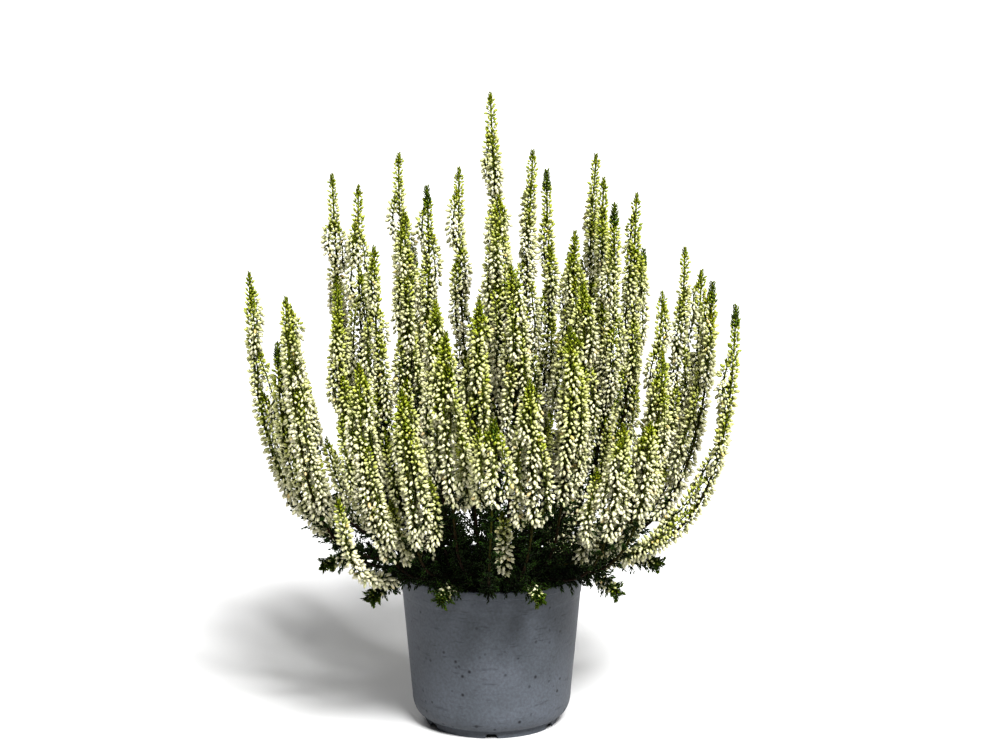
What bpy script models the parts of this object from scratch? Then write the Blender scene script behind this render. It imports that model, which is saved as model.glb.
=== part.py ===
"""A potted bud-flowering heather: a nursery pot, its potting soil and the shoots that stand in it.

Metres, +Z up. The origin is the centre of the pot's flat underside, and the plant's front faces -Y.
Azimuths are in degrees from +X towards +Y, so 270 is the front.
"""

import math

import bpy
import numpy as np

MM = 0.001
NEVER_ZERO = 1e-9

# Pot: a round 11 cm nursery pot, moulded in one piece
POT_HEIGHT = 0.093
RIM_RADIUS = 0.055
RIM_LIP = 0.0013
RIM_DEPTH = 0.0045
WALL = 0.0014
FOOT_RADIUS = 0.0395
FOOT_DEPTH = 0.004
CORNER_START = (0.0474, 0.0175)
CORNER_END = (0.0410, 0.0050)
FLOOR_TOP = 0.005
POT_SIDES = 32
CORNER_STEPS = 3
MERGE_DISTANCE = 0.00005
DRAINS = 6
DRAIN_RADIUS = 0.0035
DRAIN_SIDES = 6
DRAIN_FROM_AXIS = 0.0335
CHANNEL_SIZE = (0.020, 0.007, 0.0026)

# Soil: fills the pot to a little under the rim, with one plain hole for each stem
CLEARANCE = 0.0003
SOIL_TOP = 0.086
SOIL_EDGE_DROP = 0.0015
SOIL_EDGE_WIDTH = 0.004
SOIL_SIDES = 32
HOLE_SIDES = 5
HOLE_RADIUS = 0.0027
HOLE_DEPTH = 0.010

# Stems in the soil
PEG_RADIUS = 0.0018
ROOT_CIRCLE = 0.0435
ROOT_SPACING = 0.0096
ROOT_POWER = 0.75
ROOT_ROUNDS = 400
ROOT_STEP = 0.3
SKIRT_ROOT_CIRCLE = 0.0468

# Flowering shoots: azimuth of the tip, its distance from the pot's axis and its height, in millimetres
WIDEST_REACH = 143
FLOWERING = (
    (180, 141, 271), (214, 136, 269), (237, 129, 238), (247, 127, 226), (258, 117, 257),
    (265, 99, 272), (270, 139, 214), (280, 133, 234), (293, 113, 258), (303, 132, 205),
    (313, 128, 202), (327, 112, 235), (336, 106, 266), (348, 143, 256), (3, 129, 264),
    (18, 132, 265), (8, 114, 283), (48, 138, 268), (69, 136, 262), (91, 138, 255),
    (112, 136, 264), (134, 138, 256), (157, 131, 242), (197, 128, 236), (148, 112, 320),
    (160, 84, 317), (193, 91, 267), (180, 68, 286), (168, 52, 304), (132, 81, 333),
    (138, 52, 316), (240, 62, 263), (123, 32, 328), (86, 20, 373), (286, 18, 318),
    (62, 48, 337), (61, 72, 322), (14, 50, 293), (50, 96, 331), (33, 80, 320),
    (330, 62, 270), (33, 104, 309), (12, 74, 308), (283, 58, 284),
)
# Low sprigs that flower just above the rim
LOW = ((229, 131, 160), (274, 97, 152), (307, 94, 150), (150, 112, 150), (40, 118, 152))
# Leafy sprays that hang over the rim, and how far down their tips come
SKIRT = ((187, 100, 97), (222, 93, 91), (251, 88, 96), (288, 90, 97), (322, 92, 93),
         (357, 100, 96), (60, 94, 94), (120, 96, 95))

# The run of a shoot: up from the soil, outwards over the rim, then upright.
# The shares are of the way from root to tip, outwards and upwards, at the curve's control points.
RUN_POINTS = 30
LIFT = 0.0125
LIFT_INNER = 0.020
START_OUT = 0.03
OUTWARD = 0.75
UPRIGHT = 0.28
LOW_HEIGHT = 0.17
LOW_OUTWARD = 0.90
LOW_UPRIGHT = 0.10
SKIRT_OVER_RIM = 0.0075
SKIRT_ARCH = 0.006
SWAY = 0.0022
CURVE_POINTS = 60
BEND_POINTS = 90
BEND_ROUNDS = 14
SEED = 7

# Bending clear
CLEAR_ROUNDS = 90
CLEAR_GAP = 0.0010
STIFFNESS = 0.35
FREE_OVER = 0.022

# Buds and leaves, larger than life: raised faces of a three-sided stem
SIDES = 3
FLOWERS_FROM_RADIUS = 0.098
FLOWERS_FROM_HEIGHT = 0.135
LOW_FLOWERS_FROM_RADIUS = 0.066
LEAFY_BAND = 0.0175
SKIRT_BAND = 0.0125
BUD_BAND = 0.0136
BAND_POWER = 0.93
LEAF_REACH = 0.0040
BUD_REACH_LOW = 0.0074
BUD_REACH_SPRIG = 0.0052
BUD_REACH_HIGH = 0.0038
BUD_REACH_POWER = 1.3
TIP_REACH = 0.0022
TIP_TAPER = 0.16
DROOP_LOW = -0.22
RISE_HIGH = 0.40
LEAF_RISE = 0.35
STEM_LOW = 0.0022
STEM_HIGH = 0.0012
SIDE_FROM = 0.12
SIDE_SPREAD = 0.22
SIDE_TURN_POINTS = 2.2
SIDE_OFFSET = 0.0150
SIDE_BANDS = 3
SIDE_BAND = 0.0155
SIDE_REACH_LOW = 0.0048
SIDE_REACH_HIGH = 0.0026
SIDE_CORE = 0.0013
SIDE_RISE = 0.2


def clear_scene():
    """Remove every object, so that the script can be run again."""
    for thing in list(bpy.data.objects):
        bpy.data.objects.remove(thing, do_unlink=True)


def material(name, colour, roughness, metallic=0.0):
    """A plain Principled material."""
    made = bpy.data.materials.new(name)
    made.use_nodes = True
    shader = made.node_tree.nodes["Principled BSDF"]
    shader.inputs["Base Color"].default_value = (*colour, 1.0)
    shader.inputs["Roughness"].default_value = roughness
    shader.inputs["Metallic"].default_value = metallic
    made.diffuse_color = (*colour, 1.0)
    return made


def add_object(name, vertices, faces, finish):
    """A named mesh object, with one material or none."""
    mesh = bpy.data.meshes.new(name)
    mesh.from_pydata([tuple(v) for v in vertices], [], [tuple(f) for f in faces])
    mesh.update()
    made = bpy.data.objects.new(name, mesh)
    bpy.context.scene.collection.objects.link(made)
    if finish:
        mesh.materials.append(finish)
    return made


def turned(name, profile, sides, finish):
    """A profile in the XZ plane, turned round the Z axis by a Screw modifier."""
    points = [(r, 0.0, z) for r, z in profile]
    edges = [(i, i + 1) for i in range(len(points) - 1)]
    mesh = bpy.data.meshes.new(name)
    mesh.from_pydata(points, edges, [])
    made = bpy.data.objects.new(name, mesh)
    bpy.context.scene.collection.objects.link(made)
    mesh.materials.append(finish)
    screw = made.modifiers.new("turn", "SCREW")
    screw.steps = sides
    screw.render_steps = sides
    screw.use_merge_vertices = True
    screw.merge_threshold = MERGE_DISTANCE
    screw.use_smooth_shade = True
    return made


def cut(target, cutter):
    """Take the cutter out of the target, and keep the cutter as a wire guide."""
    cutter.hide_render = True
    cutter.display_type = "WIRE"
    boolean = target.modifiers.new("cut", "BOOLEAN")
    boolean.operation = "DIFFERENCE"
    boolean.solver = "EXACT"
    boolean.object = cutter


def prism(centre, radius, sides, low, high):
    """Vertices and faces of an upright prism."""
    turn = [2 * math.pi * i / sides for i in range(sides)]
    ring = [(centre[0] + radius * math.cos(a), centre[1] + radius * math.sin(a)) for a in turn]
    vertices = [(x, y, low) for x, y in ring] + [(x, y, high) for x, y in ring]
    faces = [tuple(range(sides - 1, -1, -1)), tuple(range(sides, 2 * sides))]
    for i in range(sides):
        j = (i + 1) % sides
        faces.append((i, j, sides + j, sides + i))
    return vertices, faces


def joined(name, pieces):
    """Several separate closed pieces as one object without a material, for a cutter."""
    vertices, faces = [], []
    for points, sides in pieces:
        base = len(vertices)
        vertices += points
        faces += [tuple(base + v for v in side) for side in sides]
    return add_object(name, vertices, faces, None)


def wall_radius(z):
    """Outer radius of the pot's straight wall at a height."""
    top = RIM_RADIUS - RIM_LIP
    share = (z - CORNER_START[1]) / (POT_HEIGHT - RIM_DEPTH - CORNER_START[1])
    return CORNER_START[0] + (top - CORNER_START[0]) * share


def build_pot(finish):
    """The pot: floor, round lower corner, tapered wall, rim lip, drain channels and drain holes."""
    corner = []
    for i in range(CORNER_STEPS + 1):
        turn = math.pi / 2 * i / CORNER_STEPS
        reach = CORNER_START[0] - CORNER_END[0]
        drop = CORNER_START[1] - CORNER_END[1]
        corner.append((CORNER_END[0] + reach * math.cos(turn), CORNER_START[1] - drop * math.sin(turn)))
    lip_low = POT_HEIGHT - RIM_DEPTH
    profile = [
        (0.0, FLOOR_TOP),
        (CORNER_END[0] - WALL, FLOOR_TOP),
        (wall_radius(CORNER_START[1]) - WALL, CORNER_START[1] - WALL),
        (wall_radius(POT_HEIGHT) - WALL, POT_HEIGHT),
        (RIM_RADIUS, POT_HEIGHT),
        (RIM_RADIUS, lip_low),
        (wall_radius(lip_low), lip_low),
        *corner,
        (FOOT_RADIUS, FOOT_DEPTH),
        (FOOT_RADIUS, 0.0),
        (0.0, 0.0),
    ]
    pot = turned("pot", profile, POT_SIDES, finish)
    length, width, height = CHANNEL_SIZE
    holes, channels = [], []
    for i in range(DRAINS):
        turn = 2 * math.pi * (i + 0.5) / DRAINS
        out = (math.cos(turn), math.sin(turn))
        centre = (DRAIN_FROM_AXIS * out[0], DRAIN_FROM_AXIS * out[1])
        holes.append(prism(centre, DRAIN_RADIUS, DRAIN_SIDES, height / 2, FLOOR_TOP + WALL))
        inner, outer = DRAIN_FROM_AXIS - length / 4, DRAIN_FROM_AXIS + length
        corners = [(r * out[0] - w * out[1], r * out[1] + w * out[0])
                   for r, w in ((inner, -width / 2), (outer, -width / 2), (outer, width / 2), (inner, width / 2))]
        box = [(x, y, -height) for x, y in corners] + [(x, y, height) for x, y in corners]
        sides = [(3, 2, 1, 0), (4, 5, 6, 7)] + [(k, (k + 1) % 4, 4 + (k + 1) % 4, 4 + k) for k in range(4)]
        channels.append((box, sides))
    cut(pot, joined("channel_cutter", channels))
    cut(pot, joined("drain_cutter", holes))
    return pot


def build_soil(roots, finish):
    """The potting soil: a plug that follows the pot's inside, with a hole under each stem."""
    inner_low = CORNER_END[0] - WALL - CLEARANCE
    corner = CORNER_START[1] - WALL
    top_edge = SOIL_TOP - SOIL_EDGE_DROP
    profile = [
        (0.0, SOIL_TOP),
        (wall_radius(top_edge) - WALL - SOIL_EDGE_WIDTH, SOIL_TOP),
        (wall_radius(top_edge) - WALL - CLEARANCE, top_edge),
        (wall_radius(corner) - WALL - 2 * CLEARANCE, corner + CLEARANCE),
        (inner_low - CLEARANCE, FLOOR_TOP + CLEARANCE),
        (0.0, FLOOR_TOP + CLEARANCE),
    ]
    soil = turned("soil", profile, SOIL_SIDES, finish)
    holes = [prism(root, HOLE_RADIUS, HOLE_SIDES, SOIL_TOP - HOLE_DEPTH, SOIL_TOP + HOLE_RADIUS) for root in roots]
    cut(soil, joined("hole_cutter", holes))
    return soil


def polar(azimuth, radius):
    """A point in the ground plane from an azimuth in degrees."""
    turn = math.radians(azimuth)
    return np.array([radius * math.cos(turn), radius * math.sin(turn)])


def root_places():
    """Where the stems leave the soil: further out the further the shoot reaches, then spread to a least spacing."""
    tips = FLOWERING + LOW
    places = np.array([polar(a, ROOT_CIRCLE * (reach / WIDEST_REACH) ** ROOT_POWER) for a, reach, _ in tips])
    skirt = np.array([polar(a, SKIRT_ROOT_CIRCLE) for a, _, _ in SKIRT])
    for _ in range(ROOT_ROUNDS):
        everyone = np.vstack([places, skirt])
        apart = places[:, None] - everyone[None]
        distance = np.linalg.norm(apart, axis=2) + NEVER_ZERO
        short = np.clip(ROOT_SPACING - distance, 0, None)
        short[np.arange(len(places)), np.arange(len(places))] = 0
        places = places + ROOT_STEP * (apart / distance[..., None] * short[..., None]).sum(axis=1)
        radius = np.linalg.norm(places, axis=1)
        over = np.clip(radius / ROOT_CIRCLE, 1, None)
        places = places / over[:, None]
    return np.vstack([places, skirt])


def bezier(points, count):
    """Points along a cubic Bezier curve with four control points."""
    t = np.linspace(0, 1, count)[:, None]
    a, b, c, d = points
    return (1 - t) ** 3 * a + 3 * (1 - t) ** 2 * t * b + 3 * (1 - t) * t ** 2 * c + t ** 3 * d


def evenly(points, count):
    """The same run, with its points evenly apart along its length."""
    steps = np.linalg.norm(np.diff(points, axis=0), axis=1)
    along = np.concatenate([[0], np.cumsum(steps)])
    wanted = np.linspace(0, along[-1], count)
    return np.column_stack([np.interp(wanted, along, points[:, i]) for i in range(3)])


def stem_in_soil(root):
    """The straight stretch of a stem from the foot of its hole to just above the soil."""
    heights = (SOIL_TOP - HOLE_DEPTH + CLEARANCE, SOIL_TOP, SOIL_TOP + 2 * PEG_RADIUS)
    return np.array([[*root, z] for z in heights])


def rounded(points, rounds):
    """The same run with its bends rounded off, its two ends and the stretch in the soil held."""
    run = evenly(points, BEND_POINTS)
    held = run[:, 2] < SOIL_TOP + PEG_RADIUS
    held[[0, -1]] = True
    for _ in range(rounds):
        softer = (np.roll(run, 1, axis=0) + 2 * run + np.roll(run, -1, axis=0)) / 4
        run = np.where(held[:, None], run, softer)
    return evenly(run, RUN_POINTS)


def shoot_run(root, azimuth, reach, height, sway):
    """A flowering shoot: straight up from the soil, outwards over the rim, then bending upright to its tip."""
    inner = max(1 - reach / WIDEST_REACH, 0)
    height = height * MM
    low = height < LOW_HEIGHT
    lift = SOIL_TOP + LIFT + LIFT_INNER * inner
    rise = (LOW_UPRIGHT if low else UPRIGHT) * (height - lift)
    tip = polar(azimuth, reach * MM)
    span = tip - root
    start = np.array([*(root + START_OUT * span), lift])
    first = np.array([*(root + OUTWARD * span), lift + MM])
    second = np.array([*(root + (LOW_OUTWARD if low else 1.0) * span), lift + rise])
    curve = bezier((start, first, second, np.array([*tip, height])), CURVE_POINTS)
    run = rounded(np.vstack([stem_in_soil(root), curve]), BEND_ROUNDS)
    across = np.array([*polar(azimuth + 90, 1.0), 0])
    share = np.linspace(0, 1, RUN_POINTS)
    swing = SWAY * np.sin(2 * math.pi * (share * sway[0] + sway[1])) * share
    return run + swing[:, None] * across


def skirt_run(root, azimuth, reach, height):
    """A leafy spray: up from the soil by the wall, over the rim, and drooping outside it."""
    reach = reach * MM
    over = POT_HEIGHT + SKIRT_OVER_RIM
    arch = over + SKIRT_ARCH
    start = np.array([*root, over - SKIRT_ARCH / 2])
    first = np.array([*polar(azimuth, RIM_RADIUS + SKIRT_ARCH / 2), arch])
    second = np.array([*polar(azimuth, (reach + RIM_RADIUS) / 2), arch])
    last = np.array([*polar(azimuth, reach), height * MM])
    curve = bezier((start, first, second, last), CURVE_POINTS)
    return rounded(np.vstack([stem_in_soil(root), curve]), BEND_ROUNDS // 2)


def flowers_at(points, kind):
    """Whether a stem of this kind bears buds at these points, or only leaves."""
    radius = np.linalg.norm(points[:, :2], axis=1)
    if kind == "skirt":
        return np.zeros(len(points), bool)
    if kind == "low":
        return radius > LOW_FLOWERS_FROM_RADIUS
    return (radius > FLOWERS_FROM_RADIUS) | (points[:, 2] > FLOWERS_FROM_HEIGHT)


def reach_at(left, share, flowers, kind):
    """How far leaves and buds stand out from the stem, by the length left to the tip and the share of the spike."""
    low = BUD_REACH_LOW if kind == "shoot" else BUD_REACH_SPRIG
    buds = low + (BUD_REACH_HIGH - low) * share ** BUD_REACH_POWER
    return np.minimum(np.where(flowers, buds, LEAF_REACH), TIP_REACH + TIP_TAPER * left)


def reach_along(run, kind):
    """The reach at each point of a run, and whether it bears buds there."""
    steps = np.linalg.norm(np.diff(run, axis=0), axis=1)
    left = np.concatenate([np.cumsum(steps[::-1])[::-1], [0]])
    flowers = flowers_at(run, kind)
    length = left[flowers].max() if flowers.any() else left[0]
    reach = reach_at(left, np.clip(1 - left / length, 0, 1), flowers, kind)
    return np.where(run[:, 2] < SOIL_TOP, PEG_RADIUS, reach), flowers


def side_plan(runs, kinds, draws):
    """For each flowering shoot, where its side raceme starts, which way it stands and how far up it goes."""
    plans = []
    for run, kind, draw in zip(runs, kinds, draws):
        if kind != "shoot":
            plans.append(None)
            continue
        flowers = reach_along(run, kind)[1]
        first = int(np.argmax(flowers))
        start = first + int(round((SIDE_FROM + SIDE_SPREAD * draw[0]) * (RUN_POINTS - first)))
        tip = run[-1, :2]
        across = np.array([-tip[1], tip[0], 0]) / np.linalg.norm(tip)
        side = 1 if draw[1] > 0.5 else -1
        plans.append((start, across * side))
    return plans


def side_shift(count, start):
    """How far a side raceme stands from its shoot, at the run's points from its start."""
    share = np.clip((np.arange(count) - start) / SIDE_TURN_POINTS, 0, 1)
    return SIDE_OFFSET * np.sin(share * math.pi / 2)


def bend_clear(runs, kinds, plans):
    """Push the runs apart where their buds would meet, roots held, and keep each run smooth."""
    start = np.array(runs)
    count = len(start)
    reach = np.array([reach_along(run, kind)[0] for run, kind in zip(runs, kinds)])
    along = np.linalg.norm(np.diff(start, axis=1), axis=2)
    along = np.concatenate([np.zeros((count, 1)), np.cumsum(along, axis=1)], axis=1)
    free = np.clip((along - HOLE_DEPTH - 0.002) / FREE_OVER, 0, 1)
    free = free * free * (3 - 2 * free)
    side_owner, side_point, side_shift_by, side_reach = [], [], [], []
    for i, plan in enumerate(plans):
        if plan is None:
            continue
        shift = side_shift(RUN_POINTS, plan[0])
        step = along[i, 1] - along[i, 0]
        last = min(RUN_POINTS - 1, plan[0] + int(math.ceil(SIDE_BANDS * SIDE_BAND / step)) + 2)
        for k in range(plan[0] + 1, last + 1):
            side_owner.append(i)
            side_point.append(k)
            side_shift_by.append(plan[1] * shift[k])
            side_reach.append(SIDE_REACH_LOW)
    side_owner, side_point = np.array(side_owner), np.array(side_point)
    side_shift_by, side_reach = np.array(side_shift_by), np.array(side_reach)
    turn = np.linspace(0, 2 * math.pi, 72, endpoint=False)
    fixed, fixed_reach = [], []
    for z, thick in ((POT_HEIGHT - 0.0022, 0.0029), (0.0840, 0.0022), (0.0780, 0.0022)):
        radius = RIM_RADIUS - 0.0014 if z > 0.09 else wall_radius(z) - WALL / 2
        fixed.append(np.column_stack([radius * np.cos(turn), radius * np.sin(turn), np.full(72, z)]))
        fixed_reach.append(np.full(72, thick))
    fixed, fixed_reach = np.vstack(fixed), np.concatenate(fixed_reach)
    owner = np.concatenate([np.repeat(np.arange(count), RUN_POINTS), side_owner, np.full(len(fixed), -1)])
    point = np.concatenate([np.tile(np.arange(RUN_POINTS), count), side_point, np.zeros(len(fixed), int)])
    thick = np.concatenate([reach.ravel(), side_reach, fixed_reach]) + CLEAR_GAP / 2
    moves = np.zeros_like(start)
    for _ in range(CLEAR_ROUNDS):
        now = start + moves
        places = np.vstack([now.reshape(-1, 3), now[side_owner, side_point] + side_shift_by, fixed])
        square = (places ** 2).sum(axis=1)
        distance = square[:, None] + square[None] - 2 * places @ places.T
        need = thick[:, None] + thick[None]
        near = (distance < need ** 2) & (owner[:, None] != owner[None])
        a, b = np.nonzero(near)
        use = owner[a] >= 0
        a, b = a[use], b[use]
        apart = places[a] - places[b]
        gap = np.linalg.norm(apart, axis=1) + NEVER_ZERO
        share = np.where(owner[b] >= 0, 0.5, 1.0)
        push = apart / gap[:, None] * ((need[a, b] - gap) * share)[:, None]
        total = np.zeros_like(moves)
        times = np.zeros(moves.shape[:2])
        np.add.at(total, (owner[a], point[a]), push)
        np.add.at(times, (owner[a], point[a]), 1)
        moves += total / np.maximum(times, 1)[..., None] * free[..., None]
        smooth = moves.copy()
        smooth[:, 1:-1] = (moves[:, :-2] + 2 * moves[:, 1:-1] + moves[:, 2:]) / 4
        smooth[:, -1] = (moves[:, -2] + moves[:, -1]) / 2
        moves += STIFFNESS * (smooth - moves) * free[..., None]
        now = start + moves
        inside = np.linalg.norm(now[..., :2], axis=2) < RIM_RADIUS - 0.002
        floor = SOIL_TOP + reach + CLEARANCE
        low = inside & (now[..., 2] < floor) & (along > HOLE_DEPTH + 0.006)
        moves[..., 2] += np.where(low, floor - now[..., 2], 0)
    return start + moves


def sampler(points):
    """Reads a smooth curve through the points at any distance along it."""
    padded = np.vstack([2 * points[0] - points[1], points, 2 * points[-1] - points[-2]])
    t = np.linspace(0, 1, 8, endpoint=False)[:, None]
    parts = []
    for i in range(1, len(padded) - 2):
        a, b, c, d = padded[i - 1:i + 3]
        parts.append(0.5 * (2 * b + (c - a) * t + (2 * a - 5 * b + 4 * c - d) * t ** 2
                            + (3 * b - a - 3 * c + d) * t ** 3))
    dense = np.vstack(parts + [points[-1:]])
    along = np.concatenate([[0], np.cumsum(np.linalg.norm(np.diff(dense, axis=0), axis=1))])

    def read(distance):
        return np.column_stack([np.interp(distance, along, dense[:, i]) for i in range(3)])

    return read, along[-1]


def carried_frames(centres, first_across):
    """Two directions across the run at each centre, carried along it without twist."""
    tangents = np.gradient(centres, axis=0)
    tangents /= np.linalg.norm(tangents, axis=1)[:, None]
    across = []
    previous = first_across
    for tangent in tangents:
        flat = previous - tangent * (previous @ tangent)
        previous = flat / np.linalg.norm(flat)
        across.append(previous)
    across = np.array(across)
    return tangents, across, np.cross(tangents, across)


class Surface:
    """A closed surface that grows ring by ring."""

    def __init__(self):
        self.vertices = []
        self.faces = []

    def add(self, point):
        self.vertices.append(point)
        return len(self.vertices) - 1

    def grow(self, centres, core, reach, slant, lean, ring=None, branch=None):
        """Rings of three corners along the centres, each turned half a step from the last.

        The triangles between two rings are raised to a point reach away from the centre line, or stay
        plain where reach is 0. A branch is (band, direction, grower): the triangle of that band that
        faces the direction is left open, and grower is called with its corners.
        """
        tangents, across, over = carried_frames(centres, lean)
        rings = []
        for k, centre in enumerate(centres):
            if k == 0 and ring is not None:
                rings.append(ring)
                continue
            corners = []
            for j in range(SIDES):
                turn = 2 * math.pi * (j + k / 2) / SIDES
                out = math.cos(turn) * across[k] + math.sin(turn) * over[k]
                corners.append(self.add(centre + core[k] * out))
            rings.append(corners)
        if ring is None:
            self.faces.append(tuple(reversed(rings[0])))
        for k in range(len(centres) - 1):
            here, there = rings[k], rings[k + 1]
            cells = []
            for j in range(SIDES):
                nxt = (j + 1) % SIDES
                cells.append(((here[j], here[nxt], there[j]), j + k / 2 + 0.5, 1 / 3))
                cells.append(((here[nxt], there[nxt], there[j]), j + k / 2 + 1.0, 2 / 3))
            outs = []
            for corners, place, share in cells:
                turn = 2 * math.pi * place / SIDES
                out = math.cos(turn) * (across[k] + across[k + 1]) + math.sin(turn) * (over[k] + over[k + 1])
                outs.append(out / np.linalg.norm(out))
            chosen = None
            if branch is not None and branch[0] == k:
                chosen = int(np.argmax([out @ branch[1] for out in outs]))
            for i, (corners, place, share) in enumerate(cells):
                if i == chosen:
                    branch[2](corners, outs[i])
                    continue
                if reach[k] <= 0:
                    self.faces.append(corners)
                    continue
                centre = centres[k] * (1 - share) + centres[k + 1] * share
                apex = self.add(centre + reach[k] * outs[i] + slant[k] * tangents[k])
                for c in range(3):
                    self.faces.append((corners[c], corners[(c + 1) % 3], apex))
        tip = self.add(centres[-1] + tangents[-1] * core[-1] * 2.2)
        for j in range(SIDES):
            self.faces.append((rings[-1][j], rings[-1][(j + 1) % SIDES], tip))


def band_places(read, length, kind):
    """Distances of the rings along a run: the peg, then longer leafy bands, then shorter bud bands."""
    probe = np.linspace(0, length, 200)
    flowers = flowers_at(read(probe), kind)
    start = probe[np.argmax(flowers)] if flowers.any() else length
    foot = HOLE_DEPTH + MM
    leafy = max(1, int(round((start - foot) / (SKIRT_BAND if kind == "skirt" else LEAFY_BAND))))
    places = [0.0] + list(np.linspace(foot, start, leafy + 1))
    if start < length:
        bands = max(2, int(round((length - start) / BUD_BAND)))
        share = np.linspace(0, 1, bands + 1)[1:]
        places += list(start + (length - start) * share ** BAND_POWER)
    return np.array(places), start


def build_shoot(name, run, kind, plan, finish):
    """One shoot in one closed mesh: the peg in the soil, leafy stem, buds, tip and its side raceme."""
    read, length = sampler(run)
    places, start = band_places(read, length, kind)
    centres = read(places)
    centres[:2, :2] = run[0, :2]
    bands = len(places) - 1
    middle = (places[1:] + places[:-1]) / 2
    flowering = middle > start
    share = np.clip((middle - start) / max(length - start, CLEARANCE), 0, 1)
    reach = reach_at(length - middle, share, flowering, kind)
    reach[0] = 0
    if kind == "shoot":
        reach[1] = 0
    band = np.diff(places)
    slant = band * np.where(flowering, DROOP_LOW + (RISE_HIGH - DROOP_LOW) * share, LEAF_RISE)
    stem = np.interp(places, [0, length], [STEM_LOW, STEM_HIGH])
    stem[:2] = PEG_RADIUS
    surface = Surface()
    branch = None
    if plan is not None:
        step = length / (RUN_POINTS - 1)
        at = int(np.argmin(np.abs(middle - plan[0] * step)))
        at = min(max(at, 2), bands - 3)
        begin = middle[at]

        def grow_side(corners, out):
            rings = np.arange(SIDE_BANDS + 1) * SIDE_BAND
            shift = SIDE_OFFSET * np.sin(np.clip(rings / (SIDE_TURN_POINTS * step), 0, 1) * math.pi / 2)
            line = read(np.minimum(begin + rings, length)) + shift[:, None] * out
            line[0] = np.mean([surface.vertices[c] for c in corners], axis=0)
            lean = surface.vertices[corners[0]] - line[0]
            along = np.linspace(0, 1, SIDE_BANDS + 1)
            side_reach = SIDE_REACH_LOW + (SIDE_REACH_HIGH - SIDE_REACH_LOW) * along[:-1]
            side_reach[0] = 0
            core = np.full(SIDE_BANDS + 1, SIDE_CORE)
            slants = np.full(SIDE_BANDS, SIDE_RISE * SIDE_BAND)
            surface.grow(line, core, side_reach, slants, lean, ring=list(corners))

        branch = (at, plan[1], grow_side)
    lean = np.array([1.0, 0.0, 0.0])
    surface.grow(centres, stem, reach, slant, lean, branch=branch)
    return add_object(name, surface.vertices, surface.faces, finish)


def build_all():
    """The pot, the soil and every shoot."""
    clear_scene()
    plastic = material("dark_grey_plastic", (0.112, 0.126, 0.146), 0.55)
    peat = material("potting_soil", (0.030, 0.021, 0.015), 0.95)
    cream = material("cream_buds", (0.72, 0.74, 0.42), 0.6)
    green = material("heather_green", (0.075, 0.130, 0.035), 0.65)
    draws = np.random.default_rng(SEED)
    roots = root_places()
    tips = FLOWERING + LOW + SKIRT
    kinds = ["shoot"] * len(FLOWERING) + ["low"] * len(LOW) + ["skirt"] * len(SKIRT)
    wobbles = draws.uniform(size=(len(tips), 2)) * np.array([1.2, 1.0]) + np.array([0.6, 0.0])
    runs = []
    for root, (azimuth, reach, height), kind, wobble in zip(roots, tips, kinds, wobbles):
        if kind == "skirt":
            runs.append(skirt_run(root, azimuth, reach, height))
        else:
            runs.append(shoot_run(root, azimuth, reach, height, wobble))
    plans = side_plan(runs, kinds, draws.uniform(size=(len(tips), 2)))
    runs = bend_clear(runs, kinds, plans)
    build_pot(plastic)
    build_soil(roots, peat)
    numbers = {"shoot": 0, "low": 0, "skirt": 0}
    titles = {"shoot": "shoot_{:02d}", "low": "low_sprig_{:d}", "skirt": "skirt_spray_{:d}"}
    for run, kind, plan in zip(runs, kinds, plans):
        numbers[kind] += 1
        finish = green if kind == "skirt" else cream
        build_shoot(titles[kind].format(numbers[kind]), run, kind, plan, finish)


build_all()
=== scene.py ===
import math

import bpy
import numpy as np
from mathutils import Matrix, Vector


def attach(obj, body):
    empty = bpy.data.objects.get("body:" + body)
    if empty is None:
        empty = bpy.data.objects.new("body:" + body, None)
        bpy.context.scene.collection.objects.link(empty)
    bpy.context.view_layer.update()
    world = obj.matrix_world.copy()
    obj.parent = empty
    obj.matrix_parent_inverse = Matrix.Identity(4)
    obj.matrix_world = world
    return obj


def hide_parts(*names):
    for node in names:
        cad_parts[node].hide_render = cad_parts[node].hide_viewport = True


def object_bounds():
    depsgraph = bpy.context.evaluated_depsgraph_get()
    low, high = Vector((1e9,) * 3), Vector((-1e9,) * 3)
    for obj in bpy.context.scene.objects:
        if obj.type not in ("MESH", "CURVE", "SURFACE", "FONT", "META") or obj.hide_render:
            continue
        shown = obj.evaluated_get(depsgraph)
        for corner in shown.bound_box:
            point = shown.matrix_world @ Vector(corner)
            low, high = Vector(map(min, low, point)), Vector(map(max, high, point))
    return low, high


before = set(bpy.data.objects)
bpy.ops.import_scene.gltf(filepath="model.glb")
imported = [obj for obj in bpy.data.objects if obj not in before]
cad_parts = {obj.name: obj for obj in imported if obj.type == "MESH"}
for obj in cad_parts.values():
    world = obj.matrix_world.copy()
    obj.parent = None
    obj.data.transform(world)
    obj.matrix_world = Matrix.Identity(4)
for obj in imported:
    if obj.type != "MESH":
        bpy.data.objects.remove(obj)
cad_box = [list(corner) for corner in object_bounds()]


# Nursery pot
# A round 11 cm nursery pot of dark grey recycled plastic, injection moulded in one piece. It has a rim
# lip, a faint ledge under it, a tapered wall, a round lower corner and a foot with six drain channels.

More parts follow.
